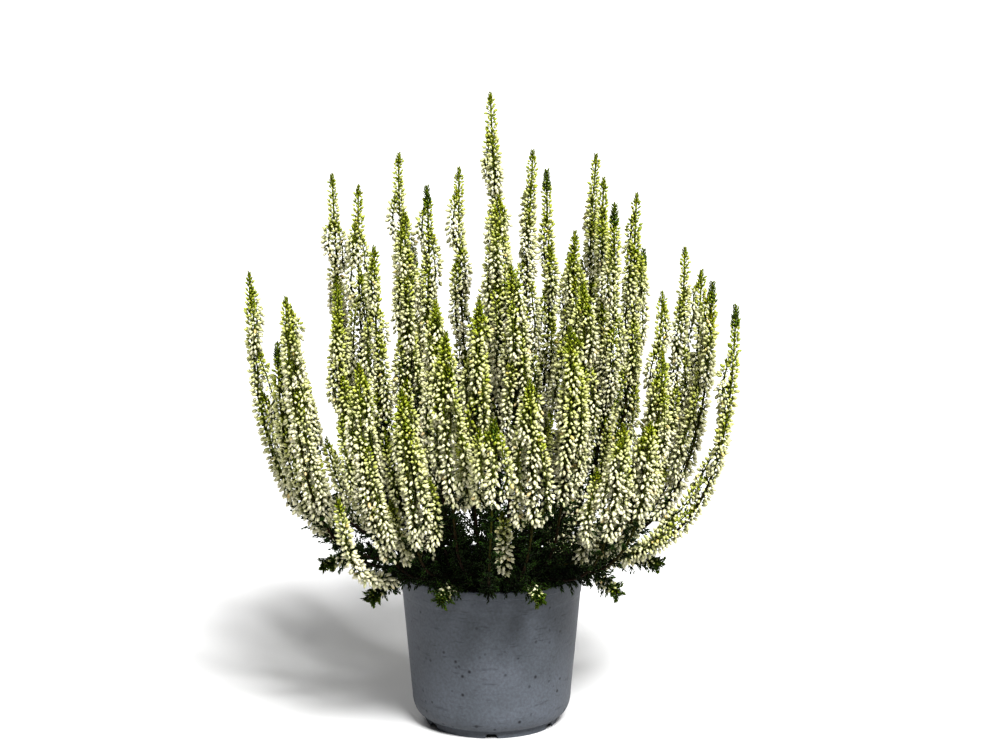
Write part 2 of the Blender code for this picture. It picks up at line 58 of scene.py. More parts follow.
MM = 0.001
POT_HEIGHT = 0.093
POT_COLUMNS = 192
RIM_RADIUS = 0.055
RIM_LIP = 0.0013
RIM_DEPTH = 0.0045
RIM_ROUND = 0.00045
LIP_POINTS = 4
WALL = 0.0014
WALL_FROM = 0.022
WALL_RINGS = 8
INNER_RINGS = 6
LEDGE_HEIGHT = 0.0800
LEDGE_STEP = 0.00030
LEDGE_BELOW = 0.002
LEDGE_RISE = ((-0.0006, 0.0), (-0.0002, 0.25), (0.0002, 0.75), (0.0006, 1.0))
LIP_GAPS = (0.0012, 0.0003)
CORNER_START = (0.0474, 0.0175)
CORNER_END = (0.0410, 0.0050)
CORNER_POINTS = 14
INNER_CORNER = (0.0434, 0.0085)
FOOT_RADIUS = 0.0395
FOOT_OUTLINE = ((-0.0002, 0.0), (0.0, 0.0004), (0.0, 0.0015), (0.0, 0.0025), (0.0, 0.0028),
                (0.0001, 0.0037), (0.0006, 0.0040))
UNDER_RADII = (0.012, 0.024, 0.0279, 0.0291, 0.034, 0.0388)
FLOOR_TOP = 0.005
FLOOR_RADII = (0.030, 0.015)
DRAINS = 6
DRAIN_RADIUS = 0.0035
DRAIN_FROM_AXIS = 0.0335
DRAIN_COLUMNS = 24
SHARP_EDGE = math.radians(38)
CHANNEL_INNER = 0.0285
CHANNEL_HALF_WIDTH = 0.0035
CHANNEL_HEIGHT = 0.0026
CHANNEL_DRAFT = 0.0009


def screen(red, green, blue):
    """A linear colour from 8-bit screen values, by the usual screen curve."""
    share = np.array([red, green, blue]) / 255
    linear = np.where(share <= 0.04045, share / 12.92, ((share + 0.055) / 1.055) ** 2.4)
    return (*linear, 1.0)


def wall_radius(z):
    """Outer radius of the tapered wall: it runs evenly from the lower corner's start to the rim lip."""
    share = (z - CORNER_START[1]) / (POT_HEIGHT - RIM_DEPTH - CORNER_START[1])
    return CORNER_START[0] + (RIM_RADIUS - RIM_LIP - CORNER_START[0]) * share


def quarter(centre, reach, first, last, count):
    """Points on part of an ellipse: the centre plus its two reaches times cosine and sine of the turn."""
    turn = np.radians(np.linspace(first, last, count))
    return np.column_stack([centre[0] + reach[0] * np.cos(turn), centre[1] + reach[1] * np.sin(turn)])


def turned(profile, columns):
    """A profile turned round the upright axis: a point (r, z) becomes a ring (r cos a, r sin a, z)."""
    turn = np.arange(columns) * 2 * math.pi / columns
    radius, height = profile[:, :1], profile[:, 1:]
    return np.stack([radius * np.cos(turn), radius * np.sin(turn), height + 0 * turn], axis=-1)


def closed_form(grid, first, last):
    """Points and triangles of a grid of rings: each cell is split in two, each end fanned to a point."""
    rows, columns = grid.shape[:2]
    ring = np.arange(columns)
    ahead = (ring + 1) % columns
    step = np.arange(rows - 1)[:, None] * columns
    here, beside = step + ring, step + ahead
    lower = np.stack([here, beside, beside + columns], axis=-1).reshape(-1, 3)
    upper = np.stack([here, beside + columns, here + columns], axis=-1).reshape(-1, 3)
    top = (rows - 1) * columns
    low_fan = np.stack([np.full(columns, rows * columns), ahead, ring], axis=-1)
    high_fan = np.stack([np.full(columns, rows * columns + 1), top + ring, top + ahead], axis=-1)
    points = np.vstack([grid.reshape(-1, 3), [first], [last]])
    return points, np.vstack([low_fan, lower, upper, high_fan])


def new_piece(name, points, triangles, finishes, finish_of=None, growth=None):
    """A smooth mesh at the origin from whole arrays, with its finishes and the finish of each face."""
    mesh = bpy.data.meshes.new(name)
    mesh.vertices.add(len(points))
    mesh.vertices.foreach_set("co", np.asarray(points, np.float32).ravel())
    mesh.loops.add(3 * len(triangles))
    mesh.loops.foreach_set("vertex_index", np.asarray(triangles, np.int32).ravel())
    mesh.polygons.add(len(triangles))
    mesh.polygons.foreach_set("loop_start", np.arange(len(triangles), dtype=np.int32) * 3)
    mesh.polygons.foreach_set("use_smooth", np.ones(len(triangles), bool))
    for finish in finishes:
        mesh.materials.append(finish)
    if finish_of is not None:
        mesh.polygons.foreach_set("material_index", np.asarray(finish_of, np.int32))
    if growth is not None:
        held = mesh.attributes.new("growth", "FLOAT_VECTOR", "POINT")
        held.data.foreach_set("vector", np.asarray(growth, np.float32).ravel())
    mesh.update(calc_edges=True)
    piece = bpy.data.objects.new(name, mesh)
    bpy.context.scene.collection.objects.link(piece)
    return piece


def pot_profile():
    """The pot's outline: from the middle of its underside, up the outside, over the rim and down inside.

    Its straight stretches are points evenly apart, and its round ones are quarters of an ellipse.
    """
    lip_low = POT_HEIGHT - RIM_DEPTH
    inner_top = wall_radius(POT_HEIGHT) - WALL
    soft = (RIM_ROUND, RIM_ROUND)
    under = [(r, 0.0) for r in UNDER_RADII]
    foot = [(FOOT_RADIUS + out, z) for out, z in FOOT_OUTLINE]
    reach = (CORNER_START[0] - CORNER_END[0], CORNER_START[1] - CORNER_END[1])
    corner = quarter((CORNER_END[0], CORNER_START[1]), reach, -90, 0, CORNER_POINTS)
    wall = [(wall_radius(z), z) for z in np.linspace(WALL_FROM, LEDGE_HEIGHT - LEDGE_BELOW, WALL_RINGS)]
    steps = [(LEDGE_HEIGHT + up, share) for up, share in LEDGE_RISE]
    steps += [(lip_low - gap, 1.0) for gap in LIP_GAPS]
    ledge = [(wall_radius(z) + LEDGE_STEP * share, z) for z, share in steps]
    lip = np.vstack([
        quarter((RIM_RADIUS - RIM_ROUND, lip_low + RIM_ROUND), soft, -90, 0, LIP_POINTS),
        quarter((RIM_RADIUS - RIM_ROUND, POT_HEIGHT - RIM_ROUND), soft, 0, 90, LIP_POINTS),
        quarter((inner_top + RIM_ROUND, POT_HEIGHT - RIM_ROUND), soft, 90, 180, LIP_POINTS),
    ])
    inside = [(wall_radius(z) - WALL, z) for z in np.linspace(lip_low, CORNER_START[1], INNER_RINGS)]
    floor = [INNER_CORNER, (CORNER_END[0] - WALL, FLOOR_TOP)] + [(r, FLOOR_TOP) for r in FLOOR_RADII]
    return np.vstack([under, foot, corner, wall, ledge, lip, inside, floor])


def with_channels(grid):
    """The underside raised along a spoke at each drain, to the channel's height, fading over the draft."""
    radius = np.hypot(grid[..., 0], grid[..., 1])
    turn = np.arctan2(grid[..., 1], grid[..., 0])
    spoke = 2 * math.pi / DRAINS
    off = (turn % spoke) - spoke / 2
    aside = CHANNEL_HALF_WIDTH - np.abs(radius * np.sin(off))
    inward = radius * np.cos(off) - CHANNEL_INNER
    depth = np.clip(np.minimum(aside, inward) / CHANNEL_DRAFT + 0.5, 0, 1) * CHANNEL_HEIGHT
    low = grid[..., 2] < CHANNEL_HEIGHT
    outside = radius < FOOT_RADIUS + MM
    grid[..., 2] = np.where(low & outside, np.maximum(grid[..., 2], depth), grid[..., 2])
    return grid


def add_node(tree, kind, feeds=None, **settings):
    """A shader node with its settings. Feeds pairs an input with a value, or with an output to link."""
    made = tree.nodes.new(kind)
    for title, value in settings.items():
        setattr(made, title, value)
    for title, value in (feeds or {}).items():
        if isinstance(value, bpy.types.NodeSocket):
            tree.links.new(value, made.inputs[title])
        else:
            made.inputs[title].default_value = value
    return made


def ramp(tree, share, stops):
    """A colour that goes from stop to stop, each a place from 0 to 1 and a colour."""
    made = add_node(tree, "ShaderNodeValToRGB", {"Fac": share})
    marks = made.color_ramp.elements
    while len(marks) < len(stops):
        marks.new(0.5)
    for mark, (place, colour) in zip(marks, stops):
        mark.position = place
        mark.color = colour
    return made.outputs["Color"]


def blended(tree, share, first, second, way="MIX"):
    """Two colours mixed by a share from 0 to 1."""
    made = add_node(tree, "ShaderNodeMix", data_type="RGBA", blend_type=way)
    for socket, value in ((made.inputs[0], share), (made.inputs[6], first), (made.inputs[7], second)):
        if isinstance(value, bpy.types.NodeSocket):
            tree.links.new(value, socket)
        else:
            socket.default_value = value
    return made.outputs[2]


def new_finish(name, roughness):
    """A new material: its node tree, its shader and its Object coordinates."""
    finish = bpy.data.materials.new(name)
    finish.use_nodes = True
    tree = finish.node_tree
    shader = tree.nodes["Principled BSDF"]
    shader.inputs["Roughness"].default_value = roughness
    place = add_node(tree, "ShaderNodeTexCoord").outputs["Object"]
    return finish, tree, shader, place


def mottle_group():
    """Cloudy light and dark: noise at a scale, stretched so that low to high becomes 0 to 1."""
    group = bpy.data.node_groups.new("mottle", "ShaderNodeTree")
    group.interface.new_socket("Place", in_out="INPUT", socket_type="NodeSocketVector")
    for title in ("Scale", "Detail", "Low", "High"):
        group.interface.new_socket(title, in_out="INPUT", socket_type="NodeSocketFloat")
    group.interface.new_socket("Share", in_out="OUTPUT", socket_type="NodeSocketFloat")
    given = group.nodes.new("NodeGroupInput").outputs
    noise = add_node(group, "ShaderNodeTexNoise", {"Vector": given["Place"], "Scale": given["Scale"],
                                                   "Detail": given["Detail"]})
    spread = add_node(group, "ShaderNodeMapRange", {
        "Value": noise.outputs["Fac"], "From Min": given["Low"], "From Max": given["High"]})
    result = group.nodes.new("NodeGroupOutput")
    group.links.new(spread.outputs["Result"], result.inputs["Share"])
    return group


MOTTLE = mottle_group()


def mottle(tree, place, scale, detail, low, high):
    """The mottle group placed in a material with that material's own values."""
    made = add_node(tree, "ShaderNodeGroup", node_tree=MOTTLE)
    tree.links.new(place, made.inputs["Place"])
    for title, value in (("Scale", scale), ("Detail", detail), ("Low", low), ("High", high)):
        made.inputs[title].default_value = value
    return made.outputs["Share"]


def pot_plastic():
    """Matte grey plastic: cloudy grey times a fine mottle, with dark specks of regrind and level scuffs."""
    finish, tree, shader, place = new_finish("pot_plastic", 0.55)
    cloud = mottle(tree, place, 38.0, 3.0, 0.35, 0.68)
    body = ramp(tree, cloud, [(0.0, screen(78, 83, 89)), (1.0, screen(88, 93, 100))])
    fine = mottle(tree, place, 620.0, 3.0, 0.30, 0.70)
    grain = ramp(tree, fine, [(0.0, screen(226, 222, 222)), (1.0, screen(255, 255, 255))])
    grained = blended(tree, 1.0, body, grain, "MULTIPLY")
    speck = add_node(tree, "ShaderNodeTexVoronoi", {"Vector": place, "Scale": 150.0})
    few = mottle(tree, place, 90.0, 1.0, 0.44, 0.56)
    near = add_node(tree, "ShaderNodeMapRange", {
        "Value": speck.outputs["Distance"], "From Min": 0.08, "From Max": 0.20, "To Min": 1.0, "To Max": 0.0})
    dots = add_node(tree, "ShaderNodeMath", {0: near.outputs["Result"], 1: few}, operation="MULTIPLY")
    specked = blended(tree, dots.outputs[0], grained, screen(30, 31, 36))
    stretched = add_node(tree, "ShaderNodeMapping", {
        "Vector": place, "Scale": (1.0, 1.0, 5.0), "Rotation": (0.07, 0.05, 0.0)})
    scuff = mottle(tree, stretched.outputs["Vector"], 85.0, 5.0, 0.60, 0.86)
    scuffed = blended(tree, scuff, specked, screen(38, 41, 46))
    tree.links.new(scuffed, shader.inputs["Base Color"])
    rough = add_node(tree, "ShaderNodeMapRange", {"Value": cloud, "To Min": 0.50, "To Max": 0.60})
    tree.links.new(rough.outputs["Result"], shader.inputs["Roughness"])
    pits = add_node(tree, "ShaderNodeMath", {0: fine, 1: dots.outputs[0]}, operation="SUBTRACT")
    bump = add_node(tree, "ShaderNodeBump", {
        "Height": pits.outputs[0], "Strength": 0.25, "Distance": 0.0002})
    tree.links.new(bump.outputs["Normal"], shader.inputs["Normal"])
    return finish


def drilled(piece):
    """The piece less an upright round hole through its floor in each channel, at even turns."""
    turn = (np.arange(DRAINS) + 0.5) * 2 * math.pi / DRAINS
    centres = np.column_stack([DRAIN_FROM_AXIS * np.cos(turn), DRAIN_FROM_AXIS * np.sin(turn), 0 * turn])
    low, high = -MM, FLOOR_TOP + MM
    rings = turned(np.array([(DRAIN_RADIUS, low), (DRAIN_RADIUS, high)]), DRAIN_COLUMNS)
    points, triangles = closed_form(rings, (0, 0, low), (0, 0, high))
    shift = np.arange(DRAINS)[:, None, None] * len(points)
    points = (centres[:, None] + points).reshape(-1, 3)
    drill = new_piece("drill", points, (shift + triangles).reshape(-1, 3), [])
    cut = piece.modifiers.new("drains", "BOOLEAN")
    cut.object = drill
    cut.operation = "DIFFERENCE"
    cut.solver = "EXACT"
    shaped = bpy.data.meshes.new_from_object(piece.evaluated_get(bpy.context.evaluated_depsgraph_get()))
    piece.modifiers.clear()
    piece.data = shaped
    shaped.set_sharp_from_angle(angle=SHARP_EDGE)
    bpy.data.objects.remove(drill)


grid = with_channels(turned(pot_profile(), POT_COLUMNS))
nursery_pot = new_piece("nursery_pot", *closed_form(grid, (0, 0, 0), (0, 0, FLOOR_TOP)), [pot_plastic()])
drilled(nursery_pot)
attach(nursery_pot, "root")
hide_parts("pot")


# Potting soil
# Dark peat that fills the pot to a little under its rim, pressed in by hand round the stems. Its top is
# uneven, with loose crumbs on it.

NEVER_ZERO = 1e-9
CLEARANCE = 0.0003
SOIL_TOP = 0.086
SOIL_EDGE_DROP = 0.0015
SOIL_COLUMNS = 96
SOIL_FOOT_RING = 0.02
SOIL_TOP_RINGS = (0.0485, 0.0015, 26)
SOIL_WAVES = 26
SOIL_WAVE_NUMBERS = (200, 1500)
SOIL_UNEVEN = 0.00242
CRUMBS = 520
CRUMB_CIRCLE = 0.0495
CRUMB_SUNK = 0.0004
CRUMB_SIZES = (0.0006, 0.0019)
CRUMB_THICKNESS = 0.6


def stamped(form, places, facing, widths, lengths):
    """Copies of a form: its points scaled by width and length, turned by the facing, moved to places."""
    points, triangles = form
    scale = np.stack([widths, widths, lengths], axis=-1)
    turned_points = np.einsum("nij,npj->npi", facing, points[None] * scale[:, None])
    copies = places[:, None] + turned_points
    shift = np.arange(len(places)) * len(points)
    return copies.reshape(-1, 3), (triangles[None] + shift[:, None, None]).reshape(-1, 3)


def spindle(sides, rings):
    """A closed spindle one long: rings of the given radius and height, turned round, between two ends."""
    return closed_form(turned(np.array(rings), sides), (0, 0, 0), (0, 0, 1))


def unit(vectors):
    """Each vector divided by its length."""
    return vectors / (np.linalg.norm(vectors, axis=-1, keepdims=True) + NEVER_ZERO)


def any_way(draws, count):
    """Frames that face any way: a random direction, and two directions square to it."""
    along = unit(draws.normal(size=(count, 3)))
    side = unit(np.cross(along, draws.normal(size=(count, 3))))
    return np.stack([side, np.cross(along, side), along], axis=-1)


def soil_surface(draws):
    """The plug's outline turned round, its top raised by a sum of plane waves of random bearing."""
    edge, corner = SOIL_TOP - SOIL_EDGE_DROP, CORNER_START[1] - WALL
    side = [(CORNER_END[0] - WALL - 2 * CLEARANCE, FLOOR_TOP + CLEARANCE),
            (wall_radius(corner) - WALL - 2 * CLEARANCE, corner + CLEARANCE),
            (wall_radius(edge) - WALL - CLEARANCE, edge)]
    top = [(r, SOIL_TOP) for r in np.linspace(*SOIL_TOP_RINGS)]
    grid = turned(np.array([(SOIL_FOOT_RING, FLOOR_TOP + CLEARANCE)] + side + top), SOIL_COLUMNS)
    bearing = draws.uniform(0, 2 * math.pi, SOIL_WAVES)
    number = draws.uniform(*SOIL_WAVE_NUMBERS, SOIL_WAVES)
    phase = draws.uniform(0, 2 * math.pi, SOIL_WAVES)
    flat = grid[..., 0, None] * np.cos(bearing) + grid[..., 1, None] * np.sin(bearing)
    waves = (np.sin(flat * number + phase) / number).sum(axis=-1) / (1 / number).sum()
    raised = grid[..., 2] > SOIL_TOP - CLEARANCE
    grid[..., 2] += np.where(raised, SOIL_UNEVEN * waves, 0)
    return closed_form(grid, (0, 0, FLOOR_TOP + CLEARANCE), (0, 0, SOIL_TOP))


def joined(parts):
    """Several sets of points and triangles as one."""
    starts = np.cumsum([0] + [len(points) for points, _ in parts[:-1]])
    points = np.vstack([points for points, _ in parts])
    triangles = np.vstack([triangles + start for (_, triangles), start in zip(parts, starts)])
    return points, triangles


def peat():
    """Damp peat: near black to brown by cloudy patches, rough, with crumbly bumps."""
    finish, tree, shader, place = new_finish("potting_soil", 0.95)
    patch = mottle(tree, place, 420.0, 4.0, 0.35, 0.70)
    brown = ramp(tree, patch, [
        (0.0, screen(18, 14, 11)), (0.6, screen(42, 31, 23)), (1.0, screen(86, 64, 46))])
    tree.links.new(brown, shader.inputs["Base Color"])
    bump = add_node(tree, "ShaderNodeBump", {"Height": patch, "Strength": 0.6, "Distance": 0.0006})
    tree.links.new(bump.outputs["Normal"], shader.inputs["Normal"])
    return finish


draws = np.random.default_rng(11)
soil_parts = [soil_surface(draws)]
crumb_turn = draws.uniform(0, 2 * math.pi, CRUMBS)
crumb_radius = CRUMB_CIRCLE * np.sqrt(draws.uniform(size=CRUMBS))
crumb_places = np.column_stack([crumb_radius * np.cos(crumb_turn), crumb_radius * np.sin(crumb_turn),
                                np.full(CRUMBS, SOIL_TOP - CRUMB_SUNK)])
crumb_sizes = draws.uniform(*CRUMB_SIZES, CRUMBS)
lump = spindle(6, [(0.75, 0.25), (0.9, 0.65)])
crumb_widths = crumb_sizes * CRUMB_THICKNESS
soil_parts.append(stamped(lump, crumb_places, any_way(draws, CRUMBS), crumb_widths, crumb_sizes))
soil_plug = new_piece("soil_plug", *joined(soil_parts), [peat()])
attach(soil_plug, "root")
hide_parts("soil")


# Flowering spikes
# Heather stems rooted in the soil, which run out over the rim and turn upright. Below they are woody, with
# dark scale leaves on short twigs. Above, the stem and the side racemes that hug it are set all round with
# closed cream buds, lime at the tip.

# Where stems leave the soil, and for each its azimuth in degrees, then how far out its tip is and how
# high, both in millimetres.
PEG_RADIUS = 0.0018
ROOT_CIRCLE = 0.0435
ROOT_SPACING = 0.0096
ROOT_POWER = 0.75
ROOT_ROUNDS = 400
ROOT_STEP = 0.3
SKIRT_ROOT_CIRCLE = 0.0468
WIDEST_REACH = 143
FLOWERING = (
    (180, 141, 271), (214, 136, 269), (237, 129, 238), (247, 127, 226), (258, 117, 257),
    (265, 99, 272), (270, 139, 214), (280, 133, 234), (293, 113, 258), (303, 132, 205),
    (313, 128, 202), (327, 112, 235), (336, 106, 266), (348, 143, 256), (3, 129, 264),
    (18, 132, 265), (8, 114, 283), (48, 138, 268), (69, 136, 262), (91, 138, 255),
    (112, 136, 264), (134, 138, 256), (157, 131, 242), (197, 128, 236), (148, 112, 320),
    (160, 84, 317), (193, 91, 267), (180, 68, 286), (168, 52, 304), (132, 81, 333),
    (138, 52, 316), (240, 62, 263), (123, 32, 328), (86, 20, 373), (286, 18, 318),
    (62, 48, 337), (61, 72, 322), (14, 50, 293), (50, 96, 331), (33, 80, 320),
    (330, 62, 270), (33, 104, 309), (12, 74, 308), (283, 58, 284),
)
LOW = ((229, 131, 160), (274, 97, 152), (307, 94, 150), (150, 112, 150), (40, 118, 152))
SKIRT = ((187, 100, 97), (222, 93, 91), (251, 88, 96), (288, 90, 97), (322, 92, 93),
         (357, 100, 96), (60, 94, 94), (120, 96, 95))
HOLE_DEPTH = 0.010

# How a stem runs from its hole to its tip.
RUN_POINTS = 30
LIFT = 0.0125
LIFT_INNER = 0.020
START_OUT = 0.03
OUTWARD = 0.75
UPRIGHT = 0.28
LOW_HEIGHT = 0.17
LOW_OUTWARD = 0.90
LOW_UPRIGHT = 0.10
SKIRT_OVER_RIM = 0.0075
SKIRT_ARCH = 0.006
SWAY = 0.0022
SWAY_FROM = (0.6, 0.0)
SWAY_SPREAD = (1.2, 1.0)
CURVE_POINTS = 60
BEND_POINTS = 90
BEND_ROUNDS = 14
SEED = 7

# How stems bend clear of each other and of the pot, given how far their leaves and buds reach.
CLEAR_ROUNDS = 90
CLEAR_GAP = 0.0010
STIFFNESS = 0.35
HELD_ABOVE = 0.002
FREE_OVER = 0.022
LIFTED_FROM = 0.006
INSIDE_RIM = 0.002
GUARD_POINTS = 72
RIM_GUARD_INSET = 0.0014
RIM_GUARD_DROP = 0.0022
RIM_GUARD_REACH = 0.0029
WALL_GUARDS = (0.0840, 0.0780)
WALL_GUARD_REACH = 0.0022
FLOWERS_FROM_RADIUS = 0.098
FLOWERS_FROM_HEIGHT = 0.135
LOW_FLOWERS_FROM_RADIUS = 0.066
LEAF_REACH = 0.0040
BUD_REACH_LOW = 0.0074
BUD_REACH_SPRIG = 0.0052
BUD_REACH_HIGH = 0.0038
BUD_REACH_POWER = 1.3
TIP_REACH = 0.0022
TIP_TAPER = 0.16
SIDE_FROM = 0.12
SIDE_SPREAD = 0.22
SIDE_TURN_POINTS = 2.2
SIDE_OFFSET = 0.0150
SIDE_BANDS = 3
SIDE_BAND = 0.0155
SIDE_REACH_LOW = 0.0048


def polar(azimuth, radius):
    """A point in the ground plane from an azimuth in degrees: radius times its cosine and sine."""
    turn = math.radians(azimuth)
    return np.array([radius * math.cos(turn), radius * math.sin(turn)])


def root_places():
    """Where stems leave the soil: further out the further they reach, pushed to a least spacing."""
    tips = FLOWERING + LOW
    places = np.array([polar(azimuth, ROOT_CIRCLE * (reach / WIDEST_REACH) ** ROOT_POWER)
                       for azimuth, reach, _ in tips])
    skirt = np.array([polar(azimuth, SKIRT_ROOT_CIRCLE) for azimuth, _, _ in SKIRT])
    for _ in range(ROOT_ROUNDS):
        everyone = np.vstack([places, skirt])
        apart = places[:, None] - everyone[None]
        distance = np.linalg.norm(apart, axis=2) + NEVER_ZERO
        short = np.clip(ROOT_SPACING - distance, 0, None)
        short[np.arange(len(places)), np.arange(len(places))] = 0
        places = places + ROOT_STEP * (apart / distance[..., None] * short[..., None]).sum(axis=1)
        radius = np.linalg.norm(places, axis=1)
        over = np.clip(radius / ROOT_CIRCLE, 1, None)
        places = places / over[:, None]
    return np.vstack([places, skirt])


def bezier(points, count):
    """A cubic Bezier curve: four control points weighted by the cubic's terms as t goes from 0 to 1."""
    t = np.linspace(0, 1, count)[:, None]
    a, b, c, d = points
    return (1 - t) ** 3 * a + 3 * (1 - t) ** 2 * t * b + 3 * (1 - t) * t ** 2 * c + t ** 3 * d


def evenly(points, count):
    """The same run, with its points evenly apart along its length."""
    steps = np.linalg.norm(np.diff(points, axis=0), axis=1)
    along = np.concatenate([[0], np.cumsum(steps)])
    wanted = np.linspace(0, along[-1], count)
    return np.column_stack([np.interp(wanted, along, points[:, i]) for i in range(3)])


def stem_in_soil(root):
    """The straight stretch of a stem from the foot of its hole to just above the soil."""
    heights = (SOIL_TOP - HOLE_DEPTH + CLEARANCE, SOIL_TOP, SOIL_TOP + 2 * PEG_RADIUS)
    return np.array([[*root, z] for z in heights])


def rounded(points, rounds):
    """The same run with each point averaged with its neighbours many times, its ends and root held."""
    run = evenly(points, BEND_POINTS)
    held = run[:, 2] < SOIL_TOP + PEG_RADIUS
    held[[0, -1]] = True
    for _ in range(rounds):
        softer = (np.roll(run, 1, axis=0) + 2 * run + np.roll(run, -1, axis=0)) / 4
        run = np.where(held[:, None], run, softer)
    return evenly(run, RUN_POINTS)


def shoot_run(root, azimuth, reach, height, sway):
    """A flowering stem's run: a Bezier up from the soil, out over the rim and upright, with a sine sway."""
    inner = max(1 - reach / WIDEST_REACH, 0)
    height = height * MM
    low = height < LOW_HEIGHT
    lift = SOIL_TOP + LIFT + LIFT_INNER * inner
    rise = (LOW_UPRIGHT if low else UPRIGHT) * (height - lift)
    tip = polar(azimuth, reach * MM)
    span = tip - root
    start = np.array([*(root + START_OUT * span), lift])
    first = np.array([*(root + OUTWARD * span), lift + MM])
    second = np.array([*(root + (LOW_OUTWARD if low else 1.0) * span), lift + rise])
    curve = bezier((start, first, second, np.array([*tip, height])), CURVE_POINTS)
    run = rounded(np.vstack([stem_in_soil(root), curve]), BEND_ROUNDS)
    across = np.array([*polar(azimuth + 90, 1.0), 0])
    share = np.linspace(0, 1, RUN_POINTS)
    swing = SWAY * np.sin(2 * math.pi * (share * sway[0] + sway[1])) * share
    return run + swing[:, None] * across


def skirt_run(root, azimuth, reach, height):
    """A leafy spray's run: a Bezier up by the wall, over the rim, and drooping outside it."""
    reach = reach * MM
    over = POT_HEIGHT + SKIRT_OVER_RIM
    arch = over + SKIRT_ARCH
    start = np.array([*root, over - SKIRT_ARCH / 2])
    first = np.array([*polar(azimuth, RIM_RADIUS + SKIRT_ARCH / 2), arch])
    second = np.array([*polar(azimuth, (reach + RIM_RADIUS) / 2), arch])
    last = np.array([*polar(azimuth, reach), height * MM])
    curve = bezier((start, first, second, last), CURVE_POINTS)
    return rounded(np.vstack([stem_in_soil(root), curve]), BEND_ROUNDS // 2)


def flowers_at(points, kind):
    """Whether a stem of this kind bears buds at these points: beyond a radius, or above a height."""
    radius = np.linalg.norm(points[:, :2], axis=1)
    if kind == "skirt":
        return np.zeros(len(points), bool)
    if kind == "low":
        return radius > LOW_FLOWERS_FROM_RADIUS
    return (radius > FLOWERS_FROM_RADIUS) | (points[:, 2] > FLOWERS_FROM_HEIGHT)


def reach_along(run, kind):
    """How far leaves and buds stand out from each point of a run, and whether it bears buds there.

    The reach falls from low to high by a power of the share of the flowering length, and tapers evenly
    to the tip.
    """
    steps = np.linalg.norm(np.diff(run, axis=0), axis=1)
    left = np.concatenate([np.cumsum(steps[::-1])[::-1], [0]])
    flowers = flowers_at(run, kind)
    length = left[flowers].max() if flowers.any() else left[0]
    share = np.clip(1 - left / length, 0, 1)
    low = BUD_REACH_LOW if kind == "shoot" else BUD_REACH_SPRIG
    buds = low + (BUD_REACH_HIGH - low) * share ** BUD_REACH_POWER
    reach = np.minimum(np.where(flowers, buds, LEAF_REACH), TIP_REACH + TIP_TAPER * left)
    return np.where(run[:, 2] < SOIL_TOP, PEG_RADIUS, reach), flowers


def side_plan(runs, kinds, chances):
    """For each flowering shoot, the point where its side raceme starts and the way it stands."""
    plans = []
    for run, kind, chance in zip(runs, kinds, chances):
        if kind != "shoot":
            plans.append(None)
            continue
        first = int(np.argmax(reach_along(run, kind)[1]))
        start = first + int(round((SIDE_FROM + SIDE_SPREAD * chance[0]) * (RUN_POINTS - first)))
        tip = run[-1, :2]
        across = np.array([-tip[1], tip[0], 0]) / np.linalg.norm(tip)
        plans.append((start, across * (1 if chance[1] > 0.5 else -1)))
    return plans


def pot_guards():
    """Points round the rim and the wall that stems keep clear of, and how far to keep from each."""
    turn = np.linspace(0, 2 * math.pi, GUARD_POINTS, endpoint=False)
    rings = [(RIM_RADIUS - RIM_GUARD_INSET, POT_HEIGHT - RIM_GUARD_DROP, RIM_GUARD_REACH)]
    rings += [(wall_radius(z) - WALL / 2, z, WALL_GUARD_REACH) for z in WALL_GUARDS]
    points = [np.column_stack([radius * np.cos(turn), radius * np.sin(turn), np.full(GUARD_POINTS, z)])
              for radius, z, _ in rings]
    return np.vstack(points), np.repeat([reach for _, _, reach in rings], GUARD_POINTS)


